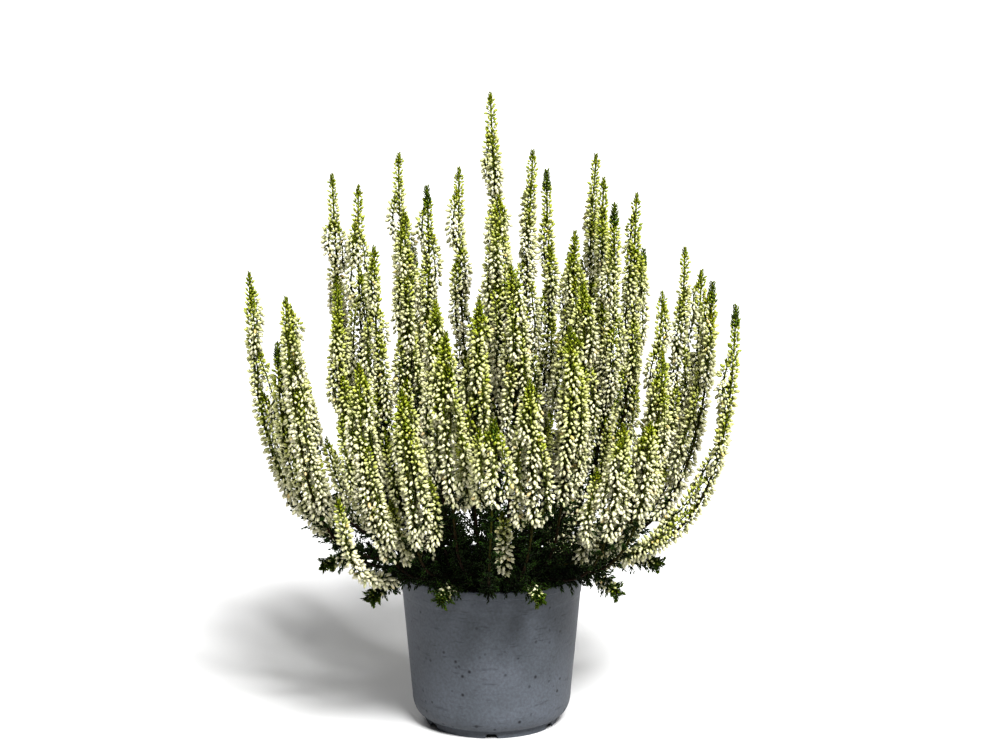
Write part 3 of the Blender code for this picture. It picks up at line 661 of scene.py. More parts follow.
def bend_clear(runs, kinds, plans):
    """Runs pushed apart where their buds would meet, half each, roots held, and kept smooth."""
    start = np.array(runs)
    count = len(start)
    reach = np.array([reach_along(run, kind)[0] for run, kind in zip(runs, kinds)])
    along = np.linalg.norm(np.diff(start, axis=1), axis=2)
    along = np.concatenate([np.zeros((count, 1)), np.cumsum(along, axis=1)], axis=1)
    free = np.clip((along - HOLE_DEPTH - HELD_ABOVE) / FREE_OVER, 0, 1)
    free = free * free * (3 - 2 * free)
    side_owner, side_point, side_shift_by, side_reach = [], [], [], []
    for i, plan in enumerate(plans):
        if plan is None:
            continue
        share = np.clip((np.arange(RUN_POINTS) - plan[0]) / SIDE_TURN_POINTS, 0, 1)
        shift = SIDE_OFFSET * np.sin(share * math.pi / 2)
        step = along[i, 1] - along[i, 0]
        last = min(RUN_POINTS - 1, plan[0] + int(math.ceil(SIDE_BANDS * SIDE_BAND / step)) + 2)
        for k in range(plan[0] + 1, last + 1):
            side_owner.append(i)
            side_point.append(k)
            side_shift_by.append(plan[1] * shift[k])
            side_reach.append(SIDE_REACH_LOW)
    side_owner, side_point = np.array(side_owner), np.array(side_point)
    side_shift_by, side_reach = np.array(side_shift_by), np.array(side_reach)
    fixed, fixed_reach = pot_guards()
    owner = np.concatenate([np.repeat(np.arange(count), RUN_POINTS), side_owner, np.full(len(fixed), -1)])
    point = np.concatenate([np.tile(np.arange(RUN_POINTS), count), side_point, np.zeros(len(fixed), int)])
    thick = np.concatenate([reach.ravel(), side_reach, fixed_reach]) + CLEAR_GAP / 2
    moves = np.zeros_like(start)
    for _ in range(CLEAR_ROUNDS):
        now = start + moves
        places = np.vstack([now.reshape(-1, 3), now[side_owner, side_point] + side_shift_by, fixed])
        square = (places ** 2).sum(axis=1)
        distance = square[:, None] + square[None] - 2 * places @ places.T
        need = thick[:, None] + thick[None]
        near = (distance < need ** 2) & (owner[:, None] != owner[None])
        a, b = np.nonzero(near)
        use = owner[a] >= 0
        a, b = a[use], b[use]
        apart = places[a] - places[b]
        gap = np.linalg.norm(apart, axis=1) + NEVER_ZERO
        share = np.where(owner[b] >= 0, 0.5, 1.0)
        push = apart / gap[:, None] * ((need[a, b] - gap) * share)[:, None]
        total = np.zeros_like(moves)
        times = np.zeros(moves.shape[:2])
        np.add.at(total, (owner[a], point[a]), push)
        np.add.at(times, (owner[a], point[a]), 1)
        moves += total / np.maximum(times, 1)[..., None] * free[..., None]
        smooth = moves.copy()
        smooth[:, 1:-1] = (moves[:, :-2] + 2 * moves[:, 1:-1] + moves[:, 2:]) / 4
        smooth[:, -1] = (moves[:, -2] + moves[:, -1]) / 2
        moves += STIFFNESS * (smooth - moves) * free[..., None]
        now = start + moves
        inside = np.linalg.norm(now[..., :2], axis=2) < RIM_RADIUS - INSIDE_RIM
        floor = SOIL_TOP + reach + CLEARANCE
        low = inside & (now[..., 2] < floor) & (along > HOLE_DEPTH + LIFTED_FROM)
        moves[..., 2] += np.where(low, floor - now[..., 2], 0)
    return start + moves


def sampler(points):
    """Reads a smooth curve through the points at any distance along it: a Catmull-Rom spline."""
    padded = np.vstack([2 * points[0] - points[1], points, 2 * points[-1] - points[-2]])
    t = np.linspace(0, 1, SPLINE_STEPS, endpoint=False)[:, None]
    parts = []
    for i in range(1, len(padded) - 2):
        a, b, c, d = padded[i - 1:i + 3]
        parts.append(0.5 * (2 * b + (c - a) * t + (2 * a - 5 * b + 4 * c - d) * t ** 2
                            + (3 * b - a - 3 * c + d) * t ** 3))
    dense = np.vstack(parts + [points[-1:]])
    along = np.concatenate([[0], np.cumsum(np.linalg.norm(np.diff(dense, axis=0), axis=1))])

    def read(distance):
        """Points at distances along the curve, by straight steps between its dense points."""
        return np.column_stack([np.interp(distance, along, dense[:, i]) for i in range(3)])

    return read, along[-1]


def all_runs():
    """The run of every stem, its kind and its side raceme's plan, bent clear of each other."""
    chances = np.random.default_rng(SEED)
    roots = root_places()
    tips = FLOWERING + LOW + SKIRT
    kinds = ["shoot"] * len(FLOWERING) + ["low"] * len(LOW) + ["skirt"] * len(SKIRT)
    wobbles = chances.uniform(size=(len(tips), 2)) * SWAY_SPREAD + SWAY_FROM
    runs = []
    for root, (azimuth, reach, height), kind, wobble in zip(roots, tips, kinds, wobbles):
        if kind == "skirt":
            runs.append(skirt_run(root, azimuth, reach, height))
        else:
            runs.append(shoot_run(root, azimuth, reach, height, wobble))
    plans = side_plan(runs, kinds, chances.uniform(size=(len(tips), 2)))
    return bend_clear(runs, kinds, plans), kinds


# What grows on a stem. A bud is a four-sided spindle, a leaf a long flat pyramid. Lengths, radii, ages and
# twigs go from low to tip, and the pairs of sizes and leans bound a random draw.
BARK, LEAF, BUD = range(3)
GOLDEN_TURN = 2.39996
SPLINE_STEPS = 8
STEM_SIDES = 5
STEM_STEP = 0.006
STEM_RADII = (0.00105, 0.00050)
BUD_FORM = spindle(4, [(1.05, 0.34), (0.92, 0.72)])
BUD_PITCH = 0.00042
BUD_STATIONS = (0.0, 0.55, 0.85, 1.0)
BUD_LENGTHS = (0.0044, 0.0042, 0.0038, 0.0024)
BUD_RADII = (0.00104, 0.00100, 0.00090, 0.00056)
BUD_SIZES = (0.80, 1.12)
BUD_LEAN = -0.12
BUD_LEAN_POWER = 2.6
BUD_LEAN_SPREAD = 0.26
BUD_TURN_SPREAD = 0.25
BUD_DROOP = 0.22
BUD_DROOP_SPREAD = 0.14
FRINGE = 0.008
FRINGE_DROOP = 1.4
BUD_FOOT = 0.0008
BUD_STALK = (0.0019, 0.55)
BUD_AGES = (0.06, 1.6, 0.8)
AGE_SPREAD = 0.08
LEAF_FORM = (np.array([(0, 0, 0), (-1, -0.45, 0.42), (1, -0.45, 0.42), (0, 0, 1)], float),
             np.array([(0, 2, 3), (0, 3, 1), (0, 1, 2), (3, 2, 1)]))
LEAF_WIDTH = 0.24
LEAF_FOOT = 0.0003
LEAF_SIZES = (0.8, 1.15)
LEAF_LEANS = (0.7, 1.4)
BRACT_PITCH = 0.0009
BRACT_LENGTHS = (0.0030, 0.0024)
BRACT_LEAN = 0.9
BRACT_AGES = (0.42, 0.03)
TWIG_PITCH = 0.0022
INNER_TWIG_PITCH = 0.0017
TWIG_RADIUS = 0.0004
TWIG_SIZES = (0.7, 1.2)
TWIG_LEANS = (0.3, 1.3)
TWIG_LEAVES = 13
TWIG_LEAF = 0.0032
TWIG_LEAF_SIZES = (0.8, 1.2)
OUTER_TWIGS = (0.009, 0.009)
INNER_TWIGS = (0.011, 0.018)
SPIKE_TWIGS = (0.014, 0.007)
TWIGS_IN_SPIKE = (0.08, 0.45)
TWIGS_FROM = 0.003

# A growing tip: how long it is, its leaves' pitch and lengths, how they lean, and their ages.
LEAFY_TIP = (0.013, 0.00020, (0.0044, 0.0026), 0.9, (0.36, 0.22))
BUDDED_TIP = (0.007, 0.00026, (0.0034, 0.0020), 1.4, (0.12, 0.0))
LEAFY_TIPS = 0.16
BUDS_INTO_TIP = 0.4

# Where the buds start on a shoot: above a height, which rises towards the front and the middle.
FLOWERS_ABOVE = 0.113
FLOWERS_ABOVE_FRONT = 0.034
FLOWERS_ABOVE_INNER = 0.040
FLOWERS_SPREAD = 0.040
OUTER_REACH = 0.115
RIPENESS = (0.6, 1.3)
SPIKE_AGES = (1.0, 0.9, 0.6, 0.4, 0.0)

# Side racemes: their number on outer and inner shoots, and how they go from the lowest to the highest.
RACEMES = (7, 9)
RACEME_SHARES = (0.02, 0.76)
RACEME_LENGTHS = (0.066, 0.030)
RACEME_OFFSETS = (0.0082, 0.0052)
RACEME_SIZES = (0.8, 1.2)
RACEME_CLOSES = 0.80
RACEME_TURN_OVER = 0.014
RACEME_STOPS = 0.80
RACEME_RADII = (0.0006, 0.0003)
RACEME_AGES = (0.6, 0.3, 0.0)
RACEME_BUDS_FROM = 0.003
FACES_STEM = 0.46
FACES_RACEME = 0.66
FREE_TIP = 0.008
WIDER_INWARD = 0.35
FIRST_RACEME_BUDS_FROM = 0.0052
FIRST_RACEME_LOWER = (0.008, 0.006)
FIRST_RACEME_LONGER = 0.003
FIRST_RACEME_FAR = 0.0105

# Buds may reach past the solids' box by a few millimetres, so a band that deep is drawn in.
DRAWN_IN = 0.008


def axis_frames(read, length, places, aside):
    """Centre, tangent, across and over at places on a stem: across is a fixed side made square to it."""
    tangent = unit(read(np.minimum(places + MM, length)) - read(np.maximum(places - MM, 0)))
    across = unit(aside - (tangent @ aside)[:, None] * tangent)
    return read(places), tangent, across, np.cross(tangent, across)


def stand_round(frames, turns, leans, droops, stand):
    """Places and facings round a stem: out by the turn, leaning along the stem and drooping down."""
    centres, tangent, across, over = frames
    out = np.cos(turns)[:, None] * across + np.sin(turns)[:, None] * over
    along = out + leans[:, None] * tangent
    along[:, 2] -= droops
    along = unit(along)
    side = np.cross(tangent, out)
    side = unit(side - (side * along).sum(axis=1)[:, None] * along)
    return centres + stand[:, None] * out, np.stack([side, np.cross(along, side), along], axis=-1)


def with_growth(form, copies, age, chance, finish):
    """Copies with their growth: the age and chance of each one, and the share along its length."""
    along = form[0][:, 2]
    growth = np.stack([np.repeat(age, len(along)), np.repeat(chance, len(along)),
                       np.tile(along, len(age))], axis=-1)
    return copies, growth, finish


def stem_part(read, length, aside, first, last, radii, ages):
    """A tube of rings along a stem: its radius runs evenly between two, its age through the values."""
    places = np.linspace(first, last, max(3, int((last - first) / STEM_STEP)))
    centres, _, across, over = axis_frames(read, length, places, aside)
    turn = np.arange(STEM_SIDES) * 2 * math.pi / STEM_SIDES
    radius = np.linspace(*radii, len(places))[:, None, None]
    ring = np.cos(turn)[:, None] * across[:, None] + np.sin(turn)[:, None] * over[:, None]
    form = closed_form(centres[:, None] + radius * ring, centres[0], centres[-1])
    age = np.interp(np.linspace(0, 1, len(places)), np.linspace(0, 1, len(ages)), ages)
    age = np.concatenate([np.repeat(age, STEM_SIDES), [ages[0], ages[-1]]])
    return form, np.stack([age, 0.5 + 0 * age, 0 * age], axis=-1), BARK


def bud_part(read, length, aside, first, last, sizes, ripe, hidden, draws):
    """Buds in a golden spiral from first to last: long and hanging below, small and rising at the tip.

    They lean along the stem by a power of the share, and droop most at the first, falling off
    exponentially. Hidden holds stretches, each from a distance to another with a way and a limit: a bud
    there that faces that way by more than the limit would only fill the stem beside, and is left out.
    """
    count = max(4, int((last - first) / BUD_PITCH))
    share = (np.arange(count) + 0.5) / count
    turns = np.arange(count) * GOLDEN_TURN + draws.normal(0, BUD_TURN_SPREAD, count)
    leans = BUD_LEAN + share ** BUD_LEAN_POWER + draws.normal(0, BUD_LEAN_SPREAD, count)
    droops = BUD_DROOP * (1 - share) + draws.normal(0, BUD_DROOP_SPREAD, count)
    droops += FRINGE_DROOP * np.exp(-share * (last - first) / FRINGE)
    stalks = BUD_STALK[0] * (1 - BUD_STALK[1] * share) * draws.uniform(0, 1, count)
    jitter = draws.uniform(*BUD_SIZES, count) * sizes
    lengths = np.interp(share, BUD_STATIONS, BUD_LENGTHS) * jitter
    radii = np.interp(share, BUD_STATIONS, BUD_RADII) * jitter
    young, rate, power = BUD_AGES
    age = ((1 - share) * rate + young) * ripe + draws.normal(0, AGE_SPREAD, count)
    age = np.clip(age, 0, 1) ** power
    chance = draws.uniform(0, 1, count)
    places = first + (last - first) * share
    frames = axis_frames(read, length, places, aside)
    where, facing = stand_round(frames, turns, leans, droops, sizes * (BUD_FOOT + stalks))
    kept = np.ones(count, bool)
    for begin, end, way, limit in hidden:
        kept &= (places < begin) | (places > end) | (facing[:, :, 2] @ way < limit)
    copies = stamped(BUD_FORM, where[kept], facing[kept], radii[kept], lengths[kept])
    return with_growth(BUD_FORM, copies, age[kept], chance[kept], BUD)


def leaf_part(read, length, aside, first, last, pitch, sizes, lean, ages, draws):
    """Scale leaves in a golden spiral from first to last, leaning along the stem."""
    count = max(3, int((last - first) / pitch))
    share = (np.arange(count) + 0.5) / count
    frames = axis_frames(read, length, first + (last - first) * share, aside)
    turns = np.arange(count) * GOLDEN_TURN + draws.normal(0, 0.2, count)
    leans = lean * draws.uniform(*LEAF_LEANS, count)
    where, facing = stand_round(frames, turns, leans, 0 * share, np.full(count, LEAF_FOOT))
    lengths = np.linspace(*sizes, count) * draws.uniform(*LEAF_SIZES, count)
    age = np.clip(np.linspace(*ages, count) + draws.normal(0, 0.06, count), 0, 1)
    copies = stamped(LEAF_FORM, where, facing, lengths * LEAF_WIDTH, lengths)
    return with_growth(LEAF_FORM, copies, age, draws.uniform(0, 1, count), LEAF)


def twig_parts(read, length, aside, first, last, pitch, reach, ages, draws):
    """Short leafy twigs on a stem: each a thin spike with scale leaves in a golden spiral along it."""
    count = max(2, int((last - first) / pitch))
    share = (np.arange(count) + 0.5) / count
    frames = axis_frames(read, length, first + (last - first) * share, aside)
    turns = np.arange(count) * GOLDEN_TURN + draws.normal(0, 0.3, count)
    leans = draws.uniform(*TWIG_LEANS, count)
    where, facing = stand_round(frames, turns, leans, 0 * share, np.full(count, LEAF_FOOT))
    long = np.linspace(*reach, count) * draws.uniform(*TWIG_SIZES, count)
    age = np.linspace(*ages, count)
    chance = draws.uniform(0, 1, count)
    stems = stamped(LEAF_FORM, where, facing, np.full(count, TWIG_RADIUS), long)
    stems = with_growth(LEAF_FORM, stems, age, chance, BARK)
    step = (np.arange(TWIG_LEAVES) + 0.7) / TWIG_LEAVES
    turn = np.arange(TWIG_LEAVES) * GOLDEN_TURN
    side, over, along = facing[:, None, :, 0], facing[:, None, :, 1], facing[:, None, :, 2]
    out = np.cos(turn)[:, None] * side + np.sin(turn)[:, None] * over
    point = unit(out * (1.0 - 0.6 * step[:, None]) + along * 1.1)
    edge = unit(np.cross(along, out))
    leaf_facing = np.stack([edge, np.cross(point, edge), point], axis=-1).reshape(-1, 3, 3)
    leaf_places = (where[:, None] + along * (step * long[:, None])[..., None] * 0.85).reshape(-1, 3)
    lengths = np.tile(TWIG_LEAF * (1 - 0.3 * step), count)
    lengths = lengths * draws.uniform(*TWIG_LEAF_SIZES, count * TWIG_LEAVES)
    leaf_age = np.clip(np.repeat(age, TWIG_LEAVES) - 0.25 * np.tile(step, count), 0, 1)
    leaf_chance = np.repeat(chance, TWIG_LEAVES)
    copies = stamped(LEAF_FORM, leaf_places, leaf_facing, lengths * LEAF_WIDTH, lengths)
    return [stems, with_growth(LEAF_FORM, copies, leaf_age, leaf_chance, LEAF)]


def tip_part(read, length, aside, first, leafy, draws):
    """The growing tip: upright scale leaves packed along the last stretch, dark where it is leafy."""
    _, pitch, lengths, lean, ages = LEAFY_TIP if leafy else BUDDED_TIP
    return leaf_part(read, length, aside, first, length, pitch, lengths, lean, ages, draws)


def kept_inside(points):
    """The points with each side's outermost band drawn in evenly, to half a millimetre inside the box."""
    allowed = DRAWN_IN - MM / 2
    for axis in range(3):
        for way, side in ((-1, cad_box[0][axis]), (1, cad_box[1][axis])):
            over = (points[:, axis] - side) * way + DRAWN_IN
            if over.max() > allowed:
                inward = np.clip(over, 0, None) * (1 - allowed / over.max())
                points[:, axis] -= way * inward
    return points


def planted(name, parts):
    """One piece from the parts of a stem: bark, leaves and buds, with each part's growth and finish."""
    points, triangles = joined([form for form, _, _ in parts])
    points = kept_inside(points)
    growth = np.vstack([growth for _, growth, _ in parts])
    finish_of = np.concatenate([np.full(len(form[1]), finish) for form, _, finish in parts])
    return new_piece(name, points, triangles, PLANT_FINISHES, finish_of, growth)


def growth_values(tree):
    """Age, chance and share along, read from the piece's growth."""
    held = add_node(tree, "ShaderNodeAttribute", attribute_name="growth")
    split = add_node(tree, "ShaderNodeSeparateXYZ", {"Vector": held.outputs["Vector"]})
    return split.outputs["X"], split.outputs["Y"], split.outputs["Z"]


def bark():
    """Stem skin: lime where young, reddish brown and woody where old, cloudy along its length."""
    finish, tree, shader, place = new_finish("heather_bark", 0.8)
    shader.inputs["Specular IOR Level"].default_value = 0.2
    age, _, _ = growth_values(tree)
    skin = ramp(tree, age, [
        (0.0, screen(110, 124, 22)), (0.35, screen(80, 86, 16)),
        (0.7, screen(54, 36, 18)), (1.0, screen(31, 22, 16))])
    cloud = mottle(tree, place, 700.0, 3.0, 0.3, 0.7)
    shade = ramp(tree, cloud, [(0.0, screen(150, 150, 150)), (1.0, screen(255, 255, 255))])
    tree.links.new(blended(tree, 1.0, skin, shade, "MULTIPLY"), shader.inputs["Base Color"])
    bump = add_node(tree, "ShaderNodeBump", {"Height": cloud, "Strength": 0.4, "Distance": 0.0002})
    tree.links.new(bump.outputs["Normal"], shader.inputs["Normal"])
    return finish


def scale_leaf():
    """Scale leaves: lime at the tips of spikes to dark green below, each leaf a little different."""
    finish, tree, shader, place = new_finish("heather_leaf", 0.6)
    shader.inputs["Specular IOR Level"].default_value = 0.25
    age, chance, _ = growth_values(tree)
    green = ramp(tree, age, [
        (0.0, screen(142, 152, 6)), (0.25, screen(94, 116, 5)), (0.5, screen(52, 84, 10)),
        (0.8, screen(36, 60, 10)), (1.0, screen(27, 46, 9))])
    light = ramp(tree, chance, [
        (0.0, screen(170, 170, 165)), (0.85, screen(255, 255, 255)), (1.0, screen(255, 225, 150))])
    tinted = blended(tree, 1.0, green, light, "MULTIPLY")
    cloud = mottle(tree, place, 900.0, 2.0, 0.3, 0.7)
    shade = ramp(tree, cloud, [(0.0, screen(190, 190, 190)), (1.0, screen(255, 255, 255))])
    tree.links.new(blended(tree, 1.0, tinted, shade, "MULTIPLY"), shader.inputs["Base Color"])
    return finish


def cream_bud():
    """Closed buds: olive green at the stalk end and a little at the tip, partly their real green and partly
    painted shade where they sit against the stem, cream along the sepals, lime when young, a few tinted tan.
    """
    finish, tree, shader, place = new_finish("cream_bud", 0.42)
    age, chance, along = growth_values(tree)
    sepal = ramp(tree, age, [
        (0.0, screen(122, 136, 12)), (0.20, screen(166, 172, 70)),
        (0.42, screen(196, 197, 145)), (1.0, screen(208, 205, 184))])
    odd = ramp(tree, chance, [
        (0.0, screen(225, 228, 205)), (0.5, screen(255, 255, 255)),
        (0.97, screen(255, 255, 245)), (1.0, screen(250, 228, 190))])
    tinted = blended(tree, 1.0, sepal, odd, "MULTIPLY")
    # Olive green from the bud's stalk end, fading out by 0.42 of its length, and part way at its tip: the
    # stalk's own green, deepened as painted shade where buds sit against the stem.
    green_stalk_and_painted_shade = ramp(tree, along, [
        (0.0, screen(255, 255, 255)), (0.42, screen(0, 0, 0)),
        (0.84, screen(0, 0, 0)), (1.0, screen(120, 120, 120))])
    body = blended(tree, green_stalk_and_painted_shade, tinted, screen(98, 114, 8))
    cloud = mottle(tree, place, 1400.0, 2.0, 0.3, 0.7)
    shade = ramp(tree, cloud, [(0.0, screen(235, 235, 228)), (1.0, screen(255, 255, 255))])
    tree.links.new(blended(tree, 1.0, body, shade, "MULTIPLY"), shader.inputs["Base Color"])
    shader.inputs["Subsurface Weight"].default_value = 0.15
    shader.inputs["Subsurface Radius"].default_value = (0.0010, 0.0010, 0.0006)
    shader.inputs["Subsurface Scale"].default_value = 1.0
    return finish


PLANT_FINISHES = [bark(), scale_leaf(), cream_bud()]


def side_course(read, length, begin, out, offset, turn_over, reach, closes=0.0):
    """A side raceme's run: it follows the stem from begin, swinging out to the offset by a quarter sine.

    The offset is also scaled by one less closes times the square of the share of its length, so that the
    raceme nears the stem at its tip.
    """
    reach = min(reach, length - begin)

    def follow(distance):
        """Points at distances along the raceme: the stem's own, moved out by the offset there."""
        share = np.clip(distance / turn_over, 0, 1)
        shift = offset * np.sin(share * math.pi / 2) * (1 - closes * (distance / reach) ** 2)
        return read(np.minimum(begin + distance, length)) + shift[:, None] * out

    return follow, reach


def side_bearing(node, read, first, length):
    """The way the CAD solid's side raceme stands: the mean way out of its points far from the stem."""
    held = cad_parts[node].data
    points = np.zeros(3 * len(held.vertices), np.float32)
    held.vertices.foreach_get("co", points)
    points = points.reshape(-1, 3).astype(float)
    places = np.linspace(first, length, 300)
    line = read(places)
    gap = np.linalg.norm(points[:, None] - line[None], axis=2)
    near = gap.argmin(axis=1)
    far = gap.min(axis=1) > FIRST_RACEME_FAR
    out = unit((points[far] - line[near[far]]).mean(axis=0))
    return out, places[near[far]].min()


runs, kinds = all_runs()
stem_names = ["shoot_{:02d}".format(i + 1) for i in range(len(FLOWERING))]
stem_names += ["low_sprig_{:d}".format(i + 1) for i in range(len(LOW))]
stem_names += ["skirt_spray_{:d}".format(i + 1) for i in range(len(SKIRT))]


def flowering_axis(read, length, aside, first, radii, stem_ages, sizes, ripe, leafy, hidden, draws):
    """A budded stretch: its stem, buds, the bracts between them, and its growing tip."""
    tip = (LEAFY_TIP if leafy else BUDDED_TIP)[0]
    last = length - (1 - BUDS_INTO_TIP) * tip
    return [
        stem_part(read, length, aside, 0.0, length, radii, stem_ages),
        bud_part(read, length, aside, first, last, sizes, ripe, hidden, draws),
        leaf_part(read, length, aside, first, last, BRACT_PITCH, BRACT_LENGTHS, BRACT_LEAN, BRACT_AGES,
                  draws),
        tip_part(read, length, aside, length - tip, leafy, draws),
    ]


def first_bud(read, length, outward, chance):
    """How far along a shoot its buds start: above a height that rises to the front and the middle."""
    probe = np.linspace(0, length, 300)
    tip = read(np.array([length]))[0]
    front = max(-outward[1], 0) ** 2
    inner = np.clip(1 - np.hypot(tip[0], tip[1]) / OUTER_REACH, 0, 1)
    above = FLOWERS_ABOVE + FLOWERS_ABOVE_FRONT * front + FLOWERS_ABOVE_INNER * inner
    above += FLOWERS_SPREAD * (chance - 0.5)
    return probe[np.argmax(read(probe)[:, 2] > above)]


def bearings(run):
    """The level way from the pot's axis to the tip of a run, and the level way square to it."""
    outward = unit(np.array([run[-1, 0], run[-1, 1], 0.0]))
    return outward, np.array([-outward[1], outward[0], 0.0])


def grow_spike(number, run, name):
    """One flowering shoot: leafy twigs below, the budded spike, and side racemes that hug it.

    The first raceme is the one that the shoot's solid has. The others start at even shares of the
    flowering length, each a golden turn on from the last, and on an outer shoot they stand inwards.
    """
    draws = np.random.default_rng(100 + number)
    read, length = sampler(run)
    outward, aside = bearings(run)
    start = first_bud(read, length, outward, draws.uniform())
    leafy = draws.uniform() < LEAFY_TIPS
    ripe = draws.uniform(*RIPENESS)
    foot = HOLE_DEPTH + TWIGS_FROM
    flowering = length - start
    outer = np.linalg.norm(run[-1, :2]) > OUTER_REACH
    twigs_to = start + TWIGS_IN_SPIKE[0 if outer else 1] * flowering
    pitch, reach = (TWIG_PITCH, OUTER_TWIGS) if outer else (INNER_TWIG_PITCH, INNER_TWIGS)
    parts = twig_parts(read, length, aside, foot, start, pitch, reach, (1.0, 0.75), draws)
    parts += twig_parts(read, length, aside, start, twigs_to, 2 * TWIG_PITCH, SPIKE_TWIGS, (0.95, 0.7),
                        draws)
    out, near = side_bearing(name, read, 0.3 * length, length)
    begin = max(near - FIRST_RACEME_LOWER[0], start - FIRST_RACEME_LOWER[1])
    turn_over = SIDE_TURN_POINTS * length / (RUN_POINTS - 1)
    long = SIDE_BANDS * SIDE_BAND + FIRST_RACEME_LONGER
    side, reach = side_course(read, length, begin, out, SIDE_OFFSET, turn_over, long)
    parts += flowering_axis(side, reach, aside, FIRST_RACEME_BUDS_FROM, RACEME_RADII, RACEME_AGES, 0.95,
                            ripe * 0.9, False, [], draws)
    hidden = []
    count = RACEMES[0 if outer else 1]
    for k in range(count):
        share = np.interp(k, [0, count - 1], RACEME_SHARES) + draws.uniform(-0.05, 0.05)
        swing = k * GOLDEN_TURN + draws.uniform(-0.4, 0.4)
        outwards = -abs(np.sin(swing)) if outer else np.sin(swing)
        way = unit(np.cos(swing) * aside + outwards * outward)
        spread = 1 + WIDER_INWARD * abs(outwards) if outer else 1.0
        offset = np.interp(share, RACEME_SHARES, RACEME_OFFSETS) * draws.uniform(*RACEME_SIZES) * spread
        long = np.interp(share, RACEME_SHARES, RACEME_LENGTHS) * draws.uniform(*RACEME_SIZES)
        place = start + flowering * share
        long = min(long, RACEME_STOPS * (length - place))
        side, reach = side_course(read, length, place, way, offset, RACEME_TURN_OVER, long, RACEME_CLOSES)
        parts += flowering_axis(side, reach, aside, RACEME_BUDS_FROM, RACEME_RADII, RACEME_AGES, 0.92,
                                ripe * 0.85, False, [(0.0, reach, -way, FACES_STEM)], draws)
        hidden.append((place + RACEME_TURN_OVER / 2, place + reach - FREE_TIP, way, FACES_RACEME))
    return parts + flowering_axis(read, length, aside, start, STEM_RADII, SPIKE_AGES, 1.0, ripe, leafy,
                                  hidden, draws)


for number, (run, kind, name) in enumerate(zip(runs, kinds, stem_names)):
    if kind != "shoot":
        continue
    spike = planted("spike_{:02d}".format(number + 1), grow_spike(number, run, name))
    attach(spike, "root")
    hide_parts(name)


# Low flowering sprigs
# Short side stems that leave the plant just above the rim and lie outwards, with leafy twigs near the pot
# and cream buds that hang from their outer part.

BUDS_START_AFTER = 0.016
SPRIG_RADII = (0.0009, 0.0004)
SPRIG_BUD_SIZE = 1.06
SPRIG_RIPENESS = 1.4
SPRIG_TWIGS = (0.007, 0.011)
TWIGS_PAST_START = 0.01


def grow_sprig(number, run):
    """One low sprig: leafy twigs near the pot, then buds that hang from the outer stretch."""
    draws = np.random.default_rng(300 + number)
    read, length = sampler(run)
    probe = np.linspace(0, length, 200)
    start = probe[np.argmax(flowers_at(read(probe), "low"))] + BUDS_START_AFTER
    _, aside = bearings(run)
    parts = flowering_axis(read, length, aside, start, SPRIG_RADII, SPIKE_AGES, SPRIG_BUD_SIZE,
                           SPRIG_RIPENESS, False, [], draws)
    foot = HOLE_DEPTH + TWIGS_FROM
    parts += twig_parts(read, length, aside, foot, start + TWIGS_PAST_START, TWIG_PITCH, SPRIG_TWIGS,
                        (1.0, 0.8), draws)
    return parts


for number, (run, kind, name) in enumerate(zip(runs, kinds, stem_names)):
    if kind != "low":
        continue
    sprig = planted("sprig_{:d}".format(number + 1 - len(FLOWERING)), grow_sprig(number, run))
    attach(sprig, "root")
    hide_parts(name)


# Leafy sprays
# Stems that hang over the rim all round, thick with short twigs of dark green scale leaves, with a few
# buds at their ends.

SPRAY_RADII = (0.0010, 0.0004)
SPRAY_TWIG_PITCH = 0.0008
LOWER_TWIGS = (0.010, 0.015)
UPPER_TWIGS = (0.014, 0.005)
SPRAY_MIDDLE = 0.55
BUDDED_END = (0.016, 0.002)
SPRAY_TIP = 0.008


def grow_spray(number, run):
    """One leafy spray: its stem, close twigs that are longest in the middle, and a tip with a few buds."""
    draws = np.random.default_rng(500 + number)
    read, length = sampler(run)
    _, aside = bearings(run)
    foot = HOLE_DEPTH + TWIGS_FROM
    middle = foot + SPRAY_MIDDLE * (length - foot)
    first, last = length - BUDDED_END[0], length - BUDDED_END[1]
    parts = [stem_part(read, length, aside, 0.0, length, SPRAY_RADII, (1.0, 0.6))]
    parts += twig_parts(read, length, aside, foot, middle, SPRAY_TWIG_PITCH, LOWER_TWIGS, (1.0, 0.8), draws)
    parts += twig_parts(read, length, aside, middle, length, SPRAY_TWIG_PITCH, UPPER_TWIGS, (0.85, 0.5),
                        draws)
    parts.append(bud_part(read, length, aside, first, last, 0.9, 0.9, [], draws))
    parts.append(tip_part(read, length, aside, length - SPRAY_TIP, True, draws))
    return parts


for number, (run, kind, name) in enumerate(zip(runs, kinds, stem_names)):
    if kind != "skirt":
        continue
    first = len(FLOWERING) + len(LOW)
    spray = planted("spray_{:d}".format(number + 1 - first), grow_spray(number, run))
    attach(spray, "root")
    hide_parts(name)


# Floor, light and camera
# A plain pale floor, a broad soft light from above the front right, a weaker one from behind on the left,
# and a studio round it that is white at the horizon and dim above.

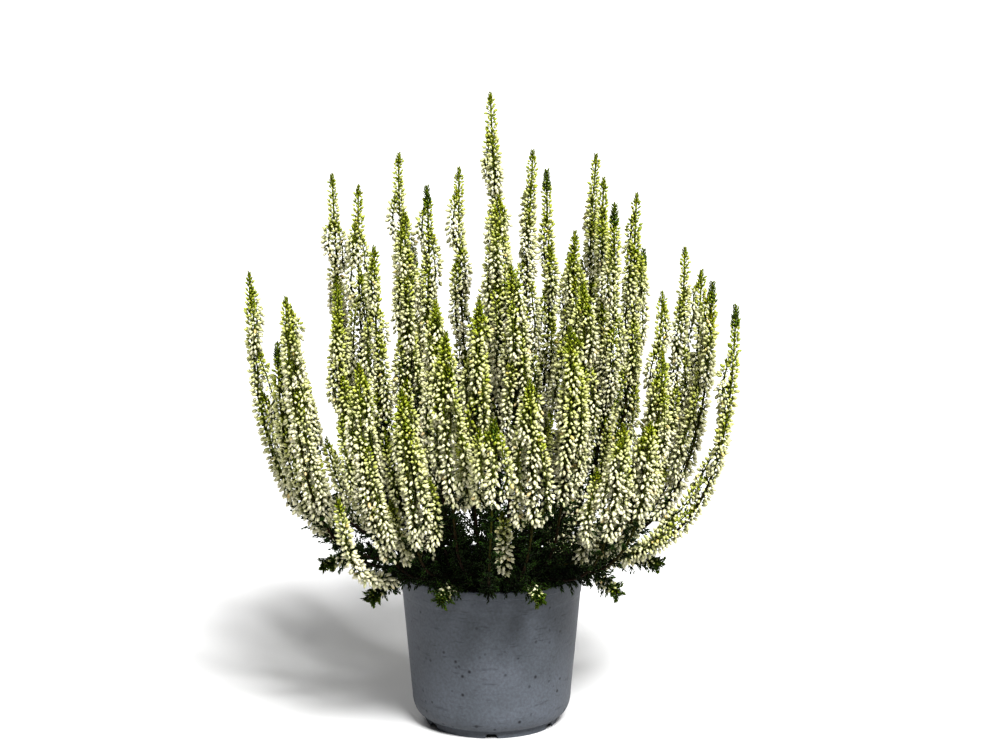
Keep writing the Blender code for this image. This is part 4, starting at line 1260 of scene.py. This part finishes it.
def pale_floor():
    """Matte near-white paint with a barely seen cloudiness."""
    finish, tree, shader, place = new_finish("pale_floor", 0.9)
    cloud = mottle(tree, place, 3.0, 2.0, 0.3, 0.7)
    tone = ramp(tree, cloud, [(0.0, screen(204, 204, 204)), (1.0, screen(208, 208, 208))])
    tree.links.new(tone, shader.inputs["Base Color"])
    return finish


corners = np.array([(-6, -4, 0), (6, -4, 0), (6, 16, 0), (-6, 16, 0)], float)
floor = new_piece("floor", corners, np.array([(0, 1, 2), (0, 2, 3)]), [pale_floor()])


def soft_light(name, place, aim, spread, strength):
    """Even light from a place towards a point, as from a lamp far off that is spread degrees wide."""
    lamp = bpy.data.lights.new(name, "SUN")
    lamp.angle = math.radians(spread)
    lamp.energy = strength
    held = bpy.data.objects.new(name, lamp)
    bpy.context.scene.collection.objects.link(held)
    along = unit(np.array(aim, float) - np.array(place, float))
    side = unit(np.cross(along, (0.0, 0.0, 1.0)))
    over = np.cross(side, along)
    rows = [(side[i], over[i], -along[i], place[i]) for i in range(3)]
    held.matrix_world = Matrix(rows + [(0, 0, 0, 1)])


soft_light("key_light", (0.62, -1.5, 2.0), (0, 0, 0.2), 20, 5.5)
soft_light("back_light", (-0.9, 1.3, 1.7), (0, 0, 0.2), 30, 1.0)
world = bpy.data.worlds.new("studio")
world.use_nodes = True
sky = world.node_tree
sky.nodes["Background"].inputs["Color"].default_value = (1, 1, 1, 1)
bearing = add_node(sky, "ShaderNodeTexCoord").outputs["Generated"]
height = add_node(sky, "ShaderNodeSeparateXYZ", {"Vector": bearing}).outputs["Z"]
glow = add_node(sky, "ShaderNodeMapRange", {
    "Value": height, "From Min": 0.05, "From Max": 0.12, "To Min": 1.0, "To Max": 0.15})
sky.links.new(glow.outputs["Result"], sky.nodes["Background"].inputs["Strength"])
bpy.context.scene.world = world
bpy.context.scene.view_settings.view_transform = "Standard"
bpy.context.scene.view_settings.look = "High Contrast"

viewer = bpy.data.cameras.new("viewer")
viewer.lens = 100.4
viewer.sensor_width = 36
camera = bpy.data.objects.new("viewer", viewer)
camera.location = (0.005, -1.6, 0.537)
camera.rotation_euler = (math.radians(90 - 11.6), 0, 0)
bpy.context.scene.collection.objects.link(camera)
bpy.context.scene.camera = camera
